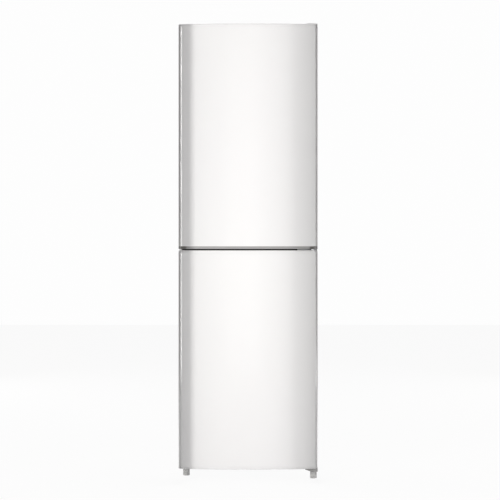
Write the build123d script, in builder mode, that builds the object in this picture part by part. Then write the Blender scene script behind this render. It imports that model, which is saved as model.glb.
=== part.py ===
from build123d import *
import os
from math import cos, radians, sin

# A free-standing bottom freezer refrigerator, 550 mm wide and 1800 mm tall, with two crowned
# doors of nearly equal height hung on the right. The front looks towards -Y, +X is on the
# viewer's right, +Z is up, and the origin is on the floor at the middle of the footprint.

os.makedirs("parts", exist_ok=True)

# ------------------------------------------------------------------ driving dimensions (mm)
# cabinet and its walls
cabinet_width = 550.0
cabinet_depth = 515.0
cabinet_ground_gap = 40.0
wall_gap = 30.0
shell_sheet = 0.8
pan_sheet = 1.0
liner_sheet = 2.0
front_flange = 24.0
crossbar_height = 48.0
fridge_wall = 45.0
freezer_wall = 58.0
back_wall = 60.0
top_wall = 50.0
floor_wall = 55.0
mullion_height = 100.0
hump_height = 167.0
hump_depth = 165.0
bay_depth = 170.0
bay_height = 175.0
groove_count = 4
groove_width = 6.0
groove_pitch = 120.0
groove_end_gap = 80.0

# doors
freezer_door_ground_gap = 42.0
freezer_door_height = 860.5
door_gap = 5.5
fridge_door_height = 885.5
door_edge_depth = 52.0
door_crown = 22.0
door_corner_radius = 10.0
door_cap = 8.5
grey_cap = 10.5
cap_notch_width = 20.0
cap_notch_overlap = 3.0
gasket_gap = 11.0
gasket_width = 18.0
gasket_radius = 3.0
plateau_side_gap = 10.0
plateau_depth = 8.0
plateau_end_gap = 8.0
plateau_edge = 1.5
grip_height = 120.0
grip_width = 30.0
grip_reach = 22.0
grip_wall = 2.0
grip_setback = 12.0
grip_corner = 8.0
grip_from_door_end = 60.0

# hinges, their covers and screws
pin_inset = 16.0
pin_setback = 22.0
pin_radius = 4.0
pin_length = 16.0
pin_clearance = 0.1
bush_radius = 9.0
bush_length = 18.0
bush_floor = 1.0
hinge_plate = 3.0
foot_plate = 4.0
hinge_half_width = 15.0
hinge_side_gap = 1.0
hinge_shoulder_radius = 7.0
top_hinge_gap = 1.5
top_hinge_reach = 60.0
middle_flange_length = 75.0
middle_flange_height = 30.0
bottom_hinge_reach = 80.0
screw_radius = 2.5
screw_head_radius = 5.0
screw_length = 14.0
screw_clearance = 0.1
top_screw_setbacks = (18.0, 44.0)
middle_screw_insets = (22.0, 48.0)
bottom_screw_setbacks = (24.0, 60.0)
screw_line_inset = 7.0
cover_length = 59.0
cover_rise = 2.0
cover_lift = 0.6
cover_slope = 22.0
cover_fall = 12.0
cover_front_reach = 22.0
cover_back_reach = 72.0
cover_fit = 0.3
skirt_length = 49.0
skirt_height = 13.0
skirt_end_height = 5.0
skirt_slope = 26.0
skirt_front_reach = 20.0
skirt_corner = 2.5

# what stands in the fridge compartment
shelf_count = 4
lowest_shelf = 178.0
shelf_glass = 4.0
shelf_setback = 114.0
shelf_rear_gap = 10.0
shelf_side_gap = 5.0
glass_edge_gap = 4.0
trim_depth = 13.0
trim_below = 4.0
trim_front_rise = 5.0
trim_rear_rise = 12.0
trim_rear_lip = 4.0
trim_rear_floor = 3.0
rib_width = 9.0
rib_height = 8.0
rib_end_gap = 16.0
tub_wall = 2.5
crisper_height = 158.0
crisper_lift = 3.0
crisper_side_gap = 13.0
crisper_lead = 2.0
crisper_corner = 10.0
crisper_lip_width = 180.0
crisper_lip_depth = 13.5
crisper_lip_sheet = 3.0
runner_inset = 30.0
runner_width = 10.0
runner_end_gap = 20.0

# what hangs in the fridge door
dyke_side_gap = 14.0
dyke_width = 14.0
dyke_depth = 60.0
dyke_end_gap = 8.0
bin_depth = 104.0
bin_wall = 2.5
bin_height = 80.0
bin_tab = 4.0
bin_side_gap = 0.5
bin_corner = 8.0
bin_floor_heights = (28.0, 333.0)
tab_sheet = 6.0
tab_setback = 14.0
tab_length = 32.0
boss_height = 8.0
dairy_floor_height = 575.0
dairy_height = 85.0
lid_sheet = 3.0
lid_lift = 1.0
lid_lip_drop = 8.0
lid_lip_sheet = 2.5
lid_pin_radius = 2.0
lid_pin_setback = 6.7
lid_ear_half = 5.0
lid_edge_radius = 2.0
retainer_width = 40.0
retainer_height = 30.0
retainer_wall = 2.0
retainer_fin = 2.4
retainer_fin_height = 60.0
retainer_reach = 60.0

# freezer drawers and shelves
drawer_side_gap = 15.0
drawer_height = 210.0
drawer_setback = 22.0
drawer_front = 4.0
drawer_front_rise = 6.0
drawer_rim = 8.0
drawer_rim_sheet = 3.0
drawer_floor_gap = 8.0
drawer_back_gap = 3.0
drawer_hump_gap = 10.0
drawer_corner = 16.0
drawer_slot_width = 130.0
drawer_slot_height = 24.0
drawer_slot_drop = 26.0
rail_height = 8.0
rail_gap = 3.0
rail_setback = 6.0
freezer_glass = 4.0
freezer_glass_drop = 6.0
freezer_glass_side_gap = 4.0
freezer_glass_back_gap = 12.0
freezer_rib_height = 6.0
freezer_rib_back_gap = 20.0

# freezer cooling
cover_sheet = 3.0
cover_side_gap = 0.5
cooler_depth = 70.0
air_slot_width = 90.0
air_slot_height = 6.0
air_slot_pitch = 12.0
air_slot_rows = 3
air_slot_x = 130.0
return_slot_width = 34.0
return_slot_height = 10.0
return_slot_pitch = 48.0
return_slot_count = 7
return_slot_lift = 14.0
grille_margin = 2.0
grille_bars = 7
fin_count = 21
fin_sheet = 0.6
fin_height = 190.0
fin_depth = 50.0
fin_side_gap = 33.0
fin_front_gap = 9.0
fin_lift = 178.0
end_plate = 2.0
end_plate_reach = 9.0
tube_radius = 4.0
tube_rows = 7
tube_pitch = 27.0
tube_inset = 13.0
tube_lift = 14.0
tube_overrun = 4.0
heater_radius = 4.0
heater_drop = 14.0
heater_cap_radius = 6.0
heater_cap_length = 5.0
heater_overrun = 8.0
trough_end_gap = 1.0
trough_wall = 2.0
trough_depth = 22.0
trough_drop = 10.0
drain_radius = 9.0
drain_wall = 2.0
drain_x = 0.0
drain_setback = 37.0
fan_radius = 45.0
fan_drop = 85.0
fan_setback = 8.0
fan_shaft_radius = 2.0
hub_radius = 11.0
hub_length = 14.0
blade_count = 5
blade_chord = 26.0
blade_sheet = 1.6
blade_pitch = 32.0
blade_root = 3.0
motor_radius = 20.0
motor_length = 26.0
motor_gap = 5.0
strap_sheet = 3.0
strap_width = 14.0
strap_setback = 8.0
pillar_radius = 4.0
pillar_gap = 12.0

# air duct and damper
duct_width = 120.0
duct_depth = 28.0
duct_throat_width = 90.0
duct_throat_inset = 2.0
duct_wall = 2.0
duct_above_top_shelf = 90.0
vent_width = 68.0
vent_height = 6.0
vent_pitch = 14.0
vent_rows = 2
vent_lift = 50.0
damper_drop = 8.0
damper_sheet = 2.0
damper_gap = 0.5
damper_pin_radius = 1.5
damper_pin_inset = 0.4
damper_axis_gap = 2.5

# control unit
control_half_width = 120.0
control_length = 170.0
control_height = 42.0
control_setback = 6.0
control_wall = 2.0
control_side_wall = 8.0
control_corner = 8.0
lens_half_width = 70.0
lens_front_gap = 50.0
lens_back_gap = 30.0
lens_fit = 0.3
lens_flange = 4.0
lens_sheet = 2.0
lens_radius = 1.5
dial_x = -52.0
dial_radius = 15.0
dial_depth = 9.7
dial_edge = 2.0
dial_lift = 20.0
spindle_radius = 3.0
spindle_length = 12.0
pointer_width = 2.4
pointer_length = 12.0
pointer_rise = 1.5
button_x = 62.0
button_half_width = 7.0
button_half_height = 4.0
button_proud = 3.0
button_flange = 2.0
button_clearance = 0.1

# compressor bay
carrier_sheet = 1.5
compressor_x = 60.0
mount_spread_x = 85.0
mount_spread_y = 55.0
mount_margin = 18.0
mount_corner = 12.0
foot_sheet = 2.5
grommet_height = 14.0
grommet_radius = 13.0
grommet_neck_radius = 6.0
grommet_neck_rise = 2.0
can_length = 190.0
can_width = 142.0
can_height = 112.0
can_wall = 3.0
can_top_radius = 38.0
can_bottom_radius = 16.0
can_end_flat = 2.0
weld_lift = 62.0
weld_height = 3.0
weld_width = 2.5
box_length = 39.0
box_gap = 3.0
box_half_width = 32.0
box_below = 22.0
box_above = 26.0
box_lift = 30.0
box_corner = 6.0
box_stem_radius = 6.0
gland_radius = 8.0
gland_bore = 4.0
gland_length = 18.0
gland_inset = 26.0
gland_drop = 8.0
tray_length = 190.0
tray_shift = -5.0
tray_front_gap = 12.0
tray_back_gap = 14.0
tray_height = 20.0
tray_wall = 2.0
tray_corner = 10.0
drain_end_drop = 6.0

# condenser and pipes
condenser_radius = 2.4
condenser_rows = 17
condenser_pitch = 84.0
condenser_side_gap = 60.0
condenser_lift = 45.0
wire_size = 1.5
wire_count = 27
wire_end = 18.0
wire_side_gap = 6.0
wire_sink = 0.4
bracket_half_width = 5.0
bracket_half_height = 16.0
bracket_wires_outside = 3
pipe_radius = 3.0
pipe_bend = 14.0
pipe_spread = 22.0
pipe_lift = 48.0
riser_inset = 43.0
suction_reach = 30.0
drier_inset = 60.0
drier_radius = 9.0
drier_length = 86.0
drier_lift = 24.0
drier_offset = 22.0
drier_loop = 40.0

# feet and rollers
roller_radius = 17.0
roller_width = 18.0
roller_edge = 2.0
roller_inset = 40.0
roller_setback = 33.0
roller_side_gap = 0.5
ear_half_width = 10.0
ear_low = 10.0
axle_radius = 2.5
axle_overrun = 1.0
foot_radius = 14.0
foot_height = 12.0
foot_edge = 1.5
foot_sides = 6
stem_radius = 5.0
stem_end_gap = 6.0
sleeve_wall = 4.0
sleeve_lift = 18.0
sleeve_length = 34.0
sleeve_floor = 2.0
boss_lift = 4.0
left_foot_inset = 27.0
left_foot_setback = 25.0

# gaps shared by parts that move against each other, and the reach of a cut past its face
running_gap = 0.3
thread_gap = 0.05
cut_past = 1.0

# ------------------------------------------------------------------ places worked out from them
both_sides = (-1, 1)
half_width = cabinet_width / 2
total_depth = door_crown + door_edge_depth + gasket_gap + cabinet_depth + wall_gap
crown_y = -total_depth / 2
door_edge_y = crown_y + door_crown
door_back_y = door_edge_y + door_edge_depth
front_y = door_back_y + gasket_gap
back_y = front_y + cabinet_depth
rear_y = back_y + wall_gap

freezer_door_low = freezer_door_ground_gap
freezer_door_high = freezer_door_low + freezer_door_height
fridge_door_low = freezer_door_high + door_gap
fridge_door_high = fridge_door_low + fridge_door_height
cabinet_low = cabinet_ground_gap
cabinet_high = fridge_door_high + top_hinge_gap
gap_middle = freezer_door_high + door_gap / 2
hinge_x = half_width - pin_inset
hinge_y = door_back_y - pin_setback

# The two liners: outer half width, low, high and back; the inside is one sheet in.
liner_back_y = back_y - back_wall
fridge_x = half_width - fridge_wall
fridge_low = gap_middle + mullion_height / 2
fridge_high = cabinet_high - top_wall
freezer_x = half_width - freezer_wall
freezer_low = cabinet_low + floor_wall
freezer_high = gap_middle - mullion_height / 2
fridge_inside_x = fridge_x - liner_sheet
freezer_inside_x = freezer_x - liner_sheet
fridge_floor = fridge_low + liner_sheet
fridge_ceiling = fridge_high - liner_sheet
freezer_floor = freezer_low + liner_sheet
freezer_ceiling = freezer_high - liner_sheet
inside_back_y = liner_back_y - liner_sheet
hump_y = liner_back_y - hump_depth
hump_z = freezer_low + hump_height
hump_top = hump_z + liner_sheet
bay_y = back_y - bay_depth
bay_z = cabinet_low + bay_height
window_x = half_width - front_flange
cover_y = inside_back_y - cooler_depth
sheet_x = (-half_width + shell_sheet, half_width - shell_sheet)

# The front frame's two windows, below and above the crossbar behind the door gap.
freezer_window = (cabinet_low + front_flange, gap_middle - crossbar_height / 2)
fridge_window = (gap_middle + crossbar_height / 2, cabinet_high - front_flange)

# The duct throat, from the freezer's ceiling through the mullion to the fridge's floor.
throat_x = (-duct_throat_width / 2, duct_throat_width / 2)
throat_y = (inside_back_y - duct_depth + duct_throat_inset, inside_back_y - duct_throat_inset)
throat_z = (freezer_ceiling, fridge_floor)

# The drain from the trough to the tray, and the left foot's threaded sleeve.
drain_y = cover_y + drain_setback
left_foot = (-half_width + left_foot_inset, front_y + left_foot_setback)
sleeve_low = foot_height + sleeve_lift
sleeve_high = sleeve_low + sleeve_length
sleeve_radius = stem_radius + sleeve_wall


def save(piece, name):
    """Names a finished piece and writes it to its own file."""
    piece.part.label = name
    export_step(piece.part, f"parts/{name}.step")


def block(x, y, z, mode=Mode.ADD):
    """A box between the two ends given along each axis."""
    with Locations((sum(x) / 2, sum(y) / 2, sum(z) / 2)):
        Box(abs(x[1] - x[0]), abs(y[1] - y[0]), abs(z[1] - z[0]), mode=mode)


def mirrored(side, inner, outer):
    """The two ends of a stretch along X on the given side of the middle."""
    return (side * inner, side * outer)


def rod(radius, start, end, mode=Mode.ADD):
    """A round bar from one point to another."""
    run = Vector(*end) - Vector(*start)
    with Locations(Plane(origin=start, z_dir=run)):
        Cylinder(radius, run.length, align=(Align.CENTER, Align.CENTER, Align.MIN), mode=mode)


def tube_along(route, radius):
    """A round bar swept along a route."""
    start = Plane(origin=route.position_at(0), z_dir=route.tangent_at(0))
    with BuildSketch(start, mode=Mode.PRIVATE) as section:
        Circle(radius)
    sweep(section.sketch, path=route)


def serpentine(half, y, levels, bend):
    """A zigzag route of level runs at one depth, joined by half-circle bends."""
    with BuildLine(mode=Mode.PRIVATE) as route:
        for i, level in enumerate(levels):
            way = 1 if i % 2 == 0 else -1
            Line((-way * half, y, level), (way * half, y, level))
            if i + 1 < len(levels):
                after = levels[i + 1]
                middle = (way * (half + bend), y, (level + after) / 2)
                ThreePointArc((way * half, y, level), middle, (way * half, y, after))
    return route.wire()


# ------------------------------------------------------------------ hinge screws
# Each screw is given by the point at the middle of its countersunk head and the way it goes in.
screw_x = hinge_x - screw_line_inset
top_screws = [
    ((screw_x, front_y + setback, cabinet_high + hinge_plate), (0, 0, -1))
    for setback in top_screw_setbacks
]
middle_screws = [
    ((hinge_x - inset, front_y - hinge_plate, gap_middle), (0, 1, 0)) for inset in middle_screw_insets
]
bottom_screws = [
    ((screw_x, front_y + setback, cabinet_low - foot_plate), (0, 0, 1))
    for setback in bottom_screw_setbacks
]
all_screws = top_screws + middle_screws + bottom_screws


def screws(places, gap=0.0, mode=Mode.ADD):
    """Countersunk screws at the given places, or the holes for them."""
    from_head = (Align.CENTER, Align.CENTER, Align.MIN)
    for point, way in places:
        with Locations(Plane(origin=point, z_dir=way)):
            Cylinder(screw_radius + gap, screw_length + gap, align=from_head, mode=mode)
            Cone(screw_head_radius + gap, screw_radius + gap, screw_radius, align=from_head, mode=mode)


with BuildPart() as hinge_screws:
    screws(all_screws)
save(hinge_screws, "hinge_screws")

# ------------------------------------------------------------------ cabinet
# The painted steel wrapper: two sides and the top folded from one sheet, with the front frame
# and the crossbar that the gaskets close on.
with BuildPart() as cabinet_shell:
    block((-half_width, half_width), (front_y, back_y), (cabinet_low, cabinet_high))
    top_edges = cabinet_shell.edges().filter_by(Axis.Y).group_by(Axis.Z)[-1]
    chamfer(top_edges, shell_sheet / 2)
    block(
        sheet_x,
        (front_y + shell_sheet, back_y),
        (cabinet_low, cabinet_high - shell_sheet),
        mode=Mode.SUBTRACT,
    )
    for window in (freezer_window, fridge_window):
        block((-window_x, window_x), (front_y, front_y + shell_sheet), window, mode=Mode.SUBTRACT)
    screws(all_screws, screw_clearance, Mode.SUBTRACT)
save(cabinet_shell, "cabinet_shell")

# The galvanised back, stiffened by upright grooves, down to the roof of the compressor bay.
panel_z = (bay_z + pan_sheet, cabinet_high - shell_sheet)
with BuildPart() as back_panel:
    block(sheet_x, (back_y - shell_sheet, back_y), panel_z)
    with Locations((0, back_y, sum(panel_z) / 2)):
        with GridLocations(groove_pitch, 0, groove_count, 1):
            Box(
                groove_width,
                shell_sheet,
                panel_z[1] - panel_z[0] - 2 * groove_end_gap,
                mode=Mode.SUBTRACT,
            )
save(back_panel, "back_panel")

# The base pan: cabinet floor, front wall and roof of the compressor bay, and the threaded
# sleeve of the left foot.
with BuildPart() as base_pan:
    block(sheet_x, (front_y + shell_sheet, bay_y), (cabinet_low, cabinet_low + pan_sheet))
    block(sheet_x, (bay_y - pan_sheet, bay_y), (cabinet_low, bay_z + pan_sheet))
    block(sheet_x, (bay_y - pan_sheet, back_y), (bay_z, bay_z + pan_sheet))
    rod(sleeve_radius, (*left_foot, sleeve_low), (*left_foot, sleeve_high))
    rod(
        stem_radius + thread_gap,
        (*left_foot, sleeve_low),
        (*left_foot, sleeve_high - sleeve_floor),
        mode=Mode.SUBTRACT,
    )
    screws(bottom_screws, screw_clearance, Mode.SUBTRACT)
    rod(
        drain_radius,
        (drain_x, drain_y, bay_z - cut_past),
        (drain_x, drain_y, bay_z + pan_sheet + cut_past),
        mode=Mode.SUBTRACT,
    )
save(base_pan, "base_pan")


# ------------------------------------------------------------------ liners and foam
def side_profile(sheet):
    """The freezer liner seen from the side, with the step over the compressor, a sheet in."""
    with BuildSketch(Plane.YZ, mode=Mode.PRIVATE) as profile:
        with BuildLine():
            Polyline(
                (front_y, freezer_low + sheet),
                (hump_y - sheet, freezer_low + sheet),
                (hump_y - sheet, hump_z + sheet),
                (liner_back_y - sheet, hump_z + sheet),
                (liner_back_y - sheet, freezer_high - sheet),
                (front_y, freezer_high - sheet),
                close=True,
            )
        make_face()
    return profile.sketch


# The shelves stand between the door bins and the duct, on ribs of the fridge liner, and share
# the height from the lowest one up to the ceiling.
shelf_pitch = (fridge_ceiling - fridge_floor - lowest_shelf) / shelf_count
shelf_heights = [fridge_floor + lowest_shelf + i * shelf_pitch for i in range(shelf_count)]
shelf_front_y = front_y + shelf_setback
shelf_back_y = inside_back_y - duct_depth - shelf_rear_gap
with BuildPart() as fridge_liner:
    block((-fridge_x, fridge_x), (front_y, liner_back_y), (fridge_low, fridge_high))
    block((-window_x, window_x), (front_y, front_y + liner_sheet), fridge_window)
    block(
        (-fridge_inside_x, fridge_inside_x),
        (front_y, inside_back_y),
        (fridge_floor, fridge_ceiling),
        mode=Mode.SUBTRACT,
    )
    for side in both_sides:
        for height in shelf_heights:
            block(
                mirrored(side, fridge_inside_x - rib_width, fridge_inside_x),
                (shelf_front_y + rib_end_gap, shelf_back_y - rib_end_gap),
                (height - rib_height, height),
            )
    block(throat_x, throat_y, (fridge_low, fridge_floor), mode=Mode.SUBTRACT)
save(fridge_liner, "fridge_liner")

# The three drawers share the freezer's height; their rims run on rails of the freezer liner,
# and the glass shelves between them lie on ribs.
drawer_names = ("freezer_drawer_bottom", "freezer_drawer_middle", "freezer_drawer_top")
drawer_zone = (freezer_ceiling - freezer_floor) / len(drawer_names)
drawer_lows = [freezer_floor + i * drawer_zone + drawer_floor_gap for i in range(len(drawer_names))]
drawer_backs = [hump_y - drawer_hump_gap] + 2 * [cover_y - cover_sheet - drawer_back_gap]
drawer_x = freezer_inside_x - drawer_side_gap
drawer_y = front_y + drawer_setback
rail_tops = [low + drawer_height - drawer_rim_sheet - running_gap for low in drawer_lows]
freezer_glass_lows = [freezer_floor + i * drawer_zone - freezer_glass_drop for i in (1, 2)]
with BuildPart() as freezer_liner:
    extrude(side_profile(0), amount=freezer_x, both=True)
    block((-window_x, window_x), (front_y, front_y + liner_sheet), freezer_window)
    extrude(side_profile(liner_sheet), amount=freezer_inside_x, both=True, mode=Mode.SUBTRACT)
    for side in both_sides:
        for top, end in zip(rail_tops, drawer_backs):
            block(
                mirrored(side, drawer_x + rail_gap, freezer_inside_x),
                (drawer_y + rail_setback, end),
                (top - rail_height, top),
            )
        for low in freezer_glass_lows:
            block(
                mirrored(side, freezer_inside_x - rib_width, freezer_inside_x),
                (drawer_y + rail_setback, cover_y - freezer_rib_back_gap),
                (low - freezer_rib_height, low),
            )
    block(throat_x, throat_y, (freezer_ceiling, freezer_high), mode=Mode.SUBTRACT)
    rod(
        drain_radius,
        (drain_x, drain_y, hump_z - cut_past),
        (drain_x, drain_y, hump_top + cut_past),
        mode=Mode.SUBTRACT,
    )
save(freezer_liner, "freezer_liner")

# Rigid foam fills all between the steel outside and the liners. In the mullion between the two
# compartments it is a separate moulded block, with the throat of the air duct through it.
with BuildPart() as cabinet_foam:
    block(
        sheet_x,
        (front_y + shell_sheet, back_y - shell_sheet),
        (cabinet_low + pan_sheet, cabinet_high - shell_sheet),
    )
    block(sheet_x, (bay_y - pan_sheet, back_y), (cabinet_low, bay_z + pan_sheet), mode=Mode.SUBTRACT)
    block((-fridge_x, fridge_x), (front_y, liner_back_y), (fridge_low, fridge_high), mode=Mode.SUBTRACT)
    extrude(side_profile(0), amount=freezer_x, both=True, mode=Mode.SUBTRACT)
    for window in (freezer_window, fridge_window):
        block((-window_x, window_x), (front_y, front_y + liner_sheet), window, mode=Mode.SUBTRACT)
    block(
        (-freezer_x, freezer_x),
        (front_y, liner_back_y),
        (freezer_high, fridge_low),
        mode=Mode.SUBTRACT,
    )
    block(
        (-freezer_x + running_gap, freezer_x - running_gap),
        (front_y + liner_sheet, liner_back_y - running_gap),
        (freezer_high, fridge_low),
    )
    block(throat_x, throat_y, throat_z, mode=Mode.SUBTRACT)
    rod(
        drain_radius,
        (drain_x, drain_y, bay_z - cut_past),
        (drain_x, drain_y, hump_z + cut_past),
        mode=Mode.SUBTRACT,
    )
    rod(sleeve_radius, (*left_foot, cabinet_low), (*left_foot, sleeve_high), mode=Mode.SUBTRACT)
    screws(all_screws, screw_clearance, Mode.SUBTRACT)
save(cabinet_foam, "cabinet_foam")

# ------------------------------------------------------------------ rollers and their carrier
# The carrier plate closes the bay's floor, and its folded ears hold the two rear rollers.
roller_x = half_width - roller_inset
roller_y = back_y - roller_setback
ear_gap = roller_width / 2 + roller_side_gap
axle_reach = ear_gap + carrier_sheet + axle_overrun
carrier_top = cabinet_low + carrier_sheet
with BuildPart() as compressor_carrier:
    block(sheet_x, (bay_y, back_y), (cabinet_low, carrier_top))
    for side in both_sides:
        for ear in both_sides:
            inner = side * roller_x + ear * ear_gap
            block(
                (inner, inner + ear * carrier_sheet),
                (roller_y - ear_half_width, roller_y + ear_half_width),
                (ear_low, cabinet_low),
            )
        rod(
            axle_radius,
            (side * roller_x - axle_reach, roller_y, roller_radius),
            (side * roller_x + axle_reach, roller_y, roller_radius),
        )
save(compressor_carrier, "compressor_carrier")

for side, name in zip(both_sides, ("roller_left", "roller_right")):
    left_end = (side * roller_x - roller_width / 2, roller_y, roller_radius)
    right_end = (side * roller_x + roller_width / 2, roller_y, roller_radius)
    with BuildPart() as roller:
        rod(roller_radius, left_end, right_end)
        rims = roller.edges().filter_by(GeomType.CIRCLE)
        fillet(rims, roller_edge)
        rod(axle_radius + thread_gap, left_end, right_end, mode=Mode.SUBTRACT)
    save(roller, name)

# ------------------------------------------------------------------ compressor
# Four rubber grommets carry the compressor's foot plate clear of the carrier.
compressor_y = (bay_y + back_y) / 2
mount_points = [
    (compressor_x + i * mount_spread_x, compressor_y + j * mount_spread_y)
    for i in both_sides
    for j in both_sides
]
plate_low = carrier_top + grommet_height
can_low = plate_low + foot_sheet
with BuildPart() as compressor_grommets:
    for x, y in mount_points:
        rod(grommet_radius, (x, y, carrier_top), (x, y, plate_low))
        rod(grommet_neck_radius, (x, y, plate_low), (x, y, can_low + grommet_neck_rise))
save(compressor_grommets, "compressor_grommets")


def can_body(inset):
    """The can's rounded body, moved in by the inset on every side."""
    end_radius = can_width / 2 - inset - can_end_flat
    with BuildPart() as body:
        with BuildSketch(Plane.XY.offset(can_low + inset)):
            with Locations((compressor_x, compressor_y)):
                RectangleRounded(can_length - 2 * inset, can_width - 2 * inset, end_radius)
        extrude(amount=can_height - 2 * inset)
        fillet(body.edges().group_by(Axis.Z)[-1], can_top_radius - inset)
        fillet(body.edges().group_by(Axis.Z)[0], can_bottom_radius - inset)
    return body.part


# The hermetic compressor: a welded steel can, hollow inside, on its foot plate.
can_outside = can_body(0)
can_inside = can_body(can_wall)
with BuildPart() as compressor:
    with BuildSketch(Plane.XY.offset(plate_low)):
        with Locations((compressor_x, compressor_y)):
            RectangleRounded(
                2 * (mount_spread_x + mount_margin),
                2 * (mount_spread_y + mount_margin),
                mount_corner,
            )
        with Locations(*mount_points):
            Circle(grommet_neck_radius + thread_gap, mode=Mode.SUBTRACT)
    extrude(amount=foot_sheet)
    add(can_outside)
    with BuildSketch(Plane.XY.offset(can_low + weld_lift)):
        with Locations((compressor_x, compressor_y)):
            RectangleRounded(can_length + 2 * weld_width, can_width + 2 * weld_width, can_width / 2)
    extrude(amount=weld_height)
    add(can_inside, mode=Mode.SUBTRACT)
save(compressor, "compressor")

# The terminal box on the can's left end, with the gland that the mains lead enters by.
can_left = compressor_x - can_length / 2
can_right = compressor_x + can_length / 2
box_z = can_low + box_lift
gland_x, gland_y, gland_z = can_left - gland_inset, compressor_y + box_half_width, box_z - gland_drop
with BuildPart() as terminal_box:
    block(
        (can_left - box_gap - box_length, can_left - box_gap),
        (compressor_y - box_half_width, compressor_y + box_half_width),
        (box_z - box_below, box_z + box_above),
    )
    box_corners = terminal_box.edges().filter_by(Axis.X)
    fillet(box_corners, box_corner)
    rod(gland_radius, (gland_x, gland_y - cut_past, gland_z), (gland_x, gland_y + gland_length, gland_z))
    rod(
        gland_bore,
        (gland_x, gland_y, gland_z),
        (gland_x, gland_y + gland_length, gland_z),
        mode=Mode.SUBTRACT,
    )
    rod(
        box_stem_radius,
        (can_left - box_gap - cut_past, compressor_y, box_z),
        (can_left, compressor_y, box_z),
    )
save(terminal_box, "terminal_box")

# The tray on the can's top where the defrost water dries off.
tray_low = can_low + can_height
tray_high = tray_low + tray_height
tray_middle = compressor_x + tray_shift
with BuildPart() as evaporation_tray:
    block(
        (tray_middle - tray_length / 2, tray_middle + tray_length / 2),
        (bay_y + tray_front_gap, back_y - tray_back_gap),
        (tray_low, tray_high),
    )
    tray_corners = evaporation_tray.edges().filter_by(Axis.Z)
    fillet(tray_corners, tray_corner)
    tray_mouth = evaporation_tray.faces().sort_by(Axis.Z)[-1]
    offset(amount=-tray_wall, openings=tray_mouth)
save(evaporation_tray, "evaporation_tray")

# ------------------------------------------------------------------ condenser and pipes
# The condenser behind the back panel: one zigzag steel tube with wires welded to its rear.
condenser_y = back_y + wall_gap / 2
condenser_low = bay_z + condenser_lift
condenser_levels = [condenser_low + i * condenser_pitch for i in range(condenser_rows)]
condenser_high = condenser_levels[-1]
condenser_run = half_width - condenser_side_gap - condenser_pitch / 2
wire_y = condenser_y + condenser_radius - wire_sink
wire_step = 2 * (condenser_run - wire_side_gap) / (wire_count - 1)
first_wire_x = -condenser_run + wire_side_gap
with BuildPart() as condenser:
    tube_along(
        serpentine(condenser_run, condenser_y, condenser_levels, condenser_pitch / 2),
        condenser_radius,
    )
    for i in range(wire_count):
        x = first_wire_x + i * wire_step
        block(
            (x - wire_size / 2, x + wire_size / 2),
            (wire_y, wire_y + wire_size),
            (condenser_low - wire_end, condenser_high + wire_end),
        )
save(condenser, "condenser")

# Four brackets between the wires hold the tube and keep the cabinet off the wall.
bracket_x = -(first_wire_x + (bracket_wires_outside - 0.5) * wire_step)
with BuildPart() as condenser_brackets:
    for side in both_sides:
        for level in (condenser_levels[1], condenser_levels[-2]):
            x = side * bracket_x
            block(
                (x - bracket_half_width, x + bracket_half_width),
                (back_y, rear_y),
                (level - bracket_half_height, level + bracket_half_height),
            )
            block(
                (x - bracket_half_width, x + bracket_half_width),
                (condenser_y - condenser_radius, condenser_y + condenser_radius),
                (level - condenser_radius, level + bracket_half_height),
                mode=Mode.SUBTRACT,
            )
save(condenser_brackets, "condenser_brackets")

# Steel and copper pipes: discharge up to the condenser's top, condenser outlet down through the
# filter drier, and suction from the foam back to the can.
pipe_z = can_low + pipe_lift
pipe_front_y, pipe_rear_y = compressor_y - pipe_spread, compressor_y + pipe_spread
riser_x = half_width - riser_inset
drier_x = -half_width + drier_inset
drier_low = carrier_top + drier_lift
drier_high = drier_low + drier_length
with BuildPart() as refrigerant_lines:
    with BuildLine(mode=Mode.PRIVATE) as discharge:
        FilletPolyline(
            (can_right, pipe_rear_y, pipe_z),
            (riser_x, pipe_rear_y, pipe_z),
            (riser_x, condenser_y, pipe_z),
            (riser_x, condenser_y, condenser_high),
            (condenser_run, condenser_y, condenser_high),
            radius=pipe_bend,
        )
    tube_along(discharge.wire(), condenser_radius)
    with BuildLine(mode=Mode.PRIVATE) as suction:
        FilletPolyline(
            (can_right, pipe_front_y, pipe_z),
            (can_right + suction_reach, pipe_front_y, pipe_z),
            (can_right + suction_reach, pipe_front_y, bay_z),
            radius=pipe_bend,
        )
    tube_along(suction.wire(), pipe_radius)
    with BuildLine(mode=Mode.PRIVATE) as liquid:
        FilletPolyline(
            (-condenser_run, condenser_y, condenser_low),
            (drier_x - drier_offset, condenser_y, condenser_low),
            (drier_x - drier_offset, condenser_y, drier_high + drier_loop),
            (drier_x, compressor_y, drier_high + drier_loop),
            (drier_x, compressor_y, drier_high),
            radius=pipe_bend / 2,
        )
    tube_along(liquid.wire(), condenser_radius)
    rod(drier_radius, (drier_x, compressor_y, drier_low), (drier_x, compressor_y, drier_high))
    rod(pipe_radius, (drier_x, compressor_y, carrier_top), (drier_x, compressor_y, drier_low))
save(refrigerant_lines, "refrigerant_lines")

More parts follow.
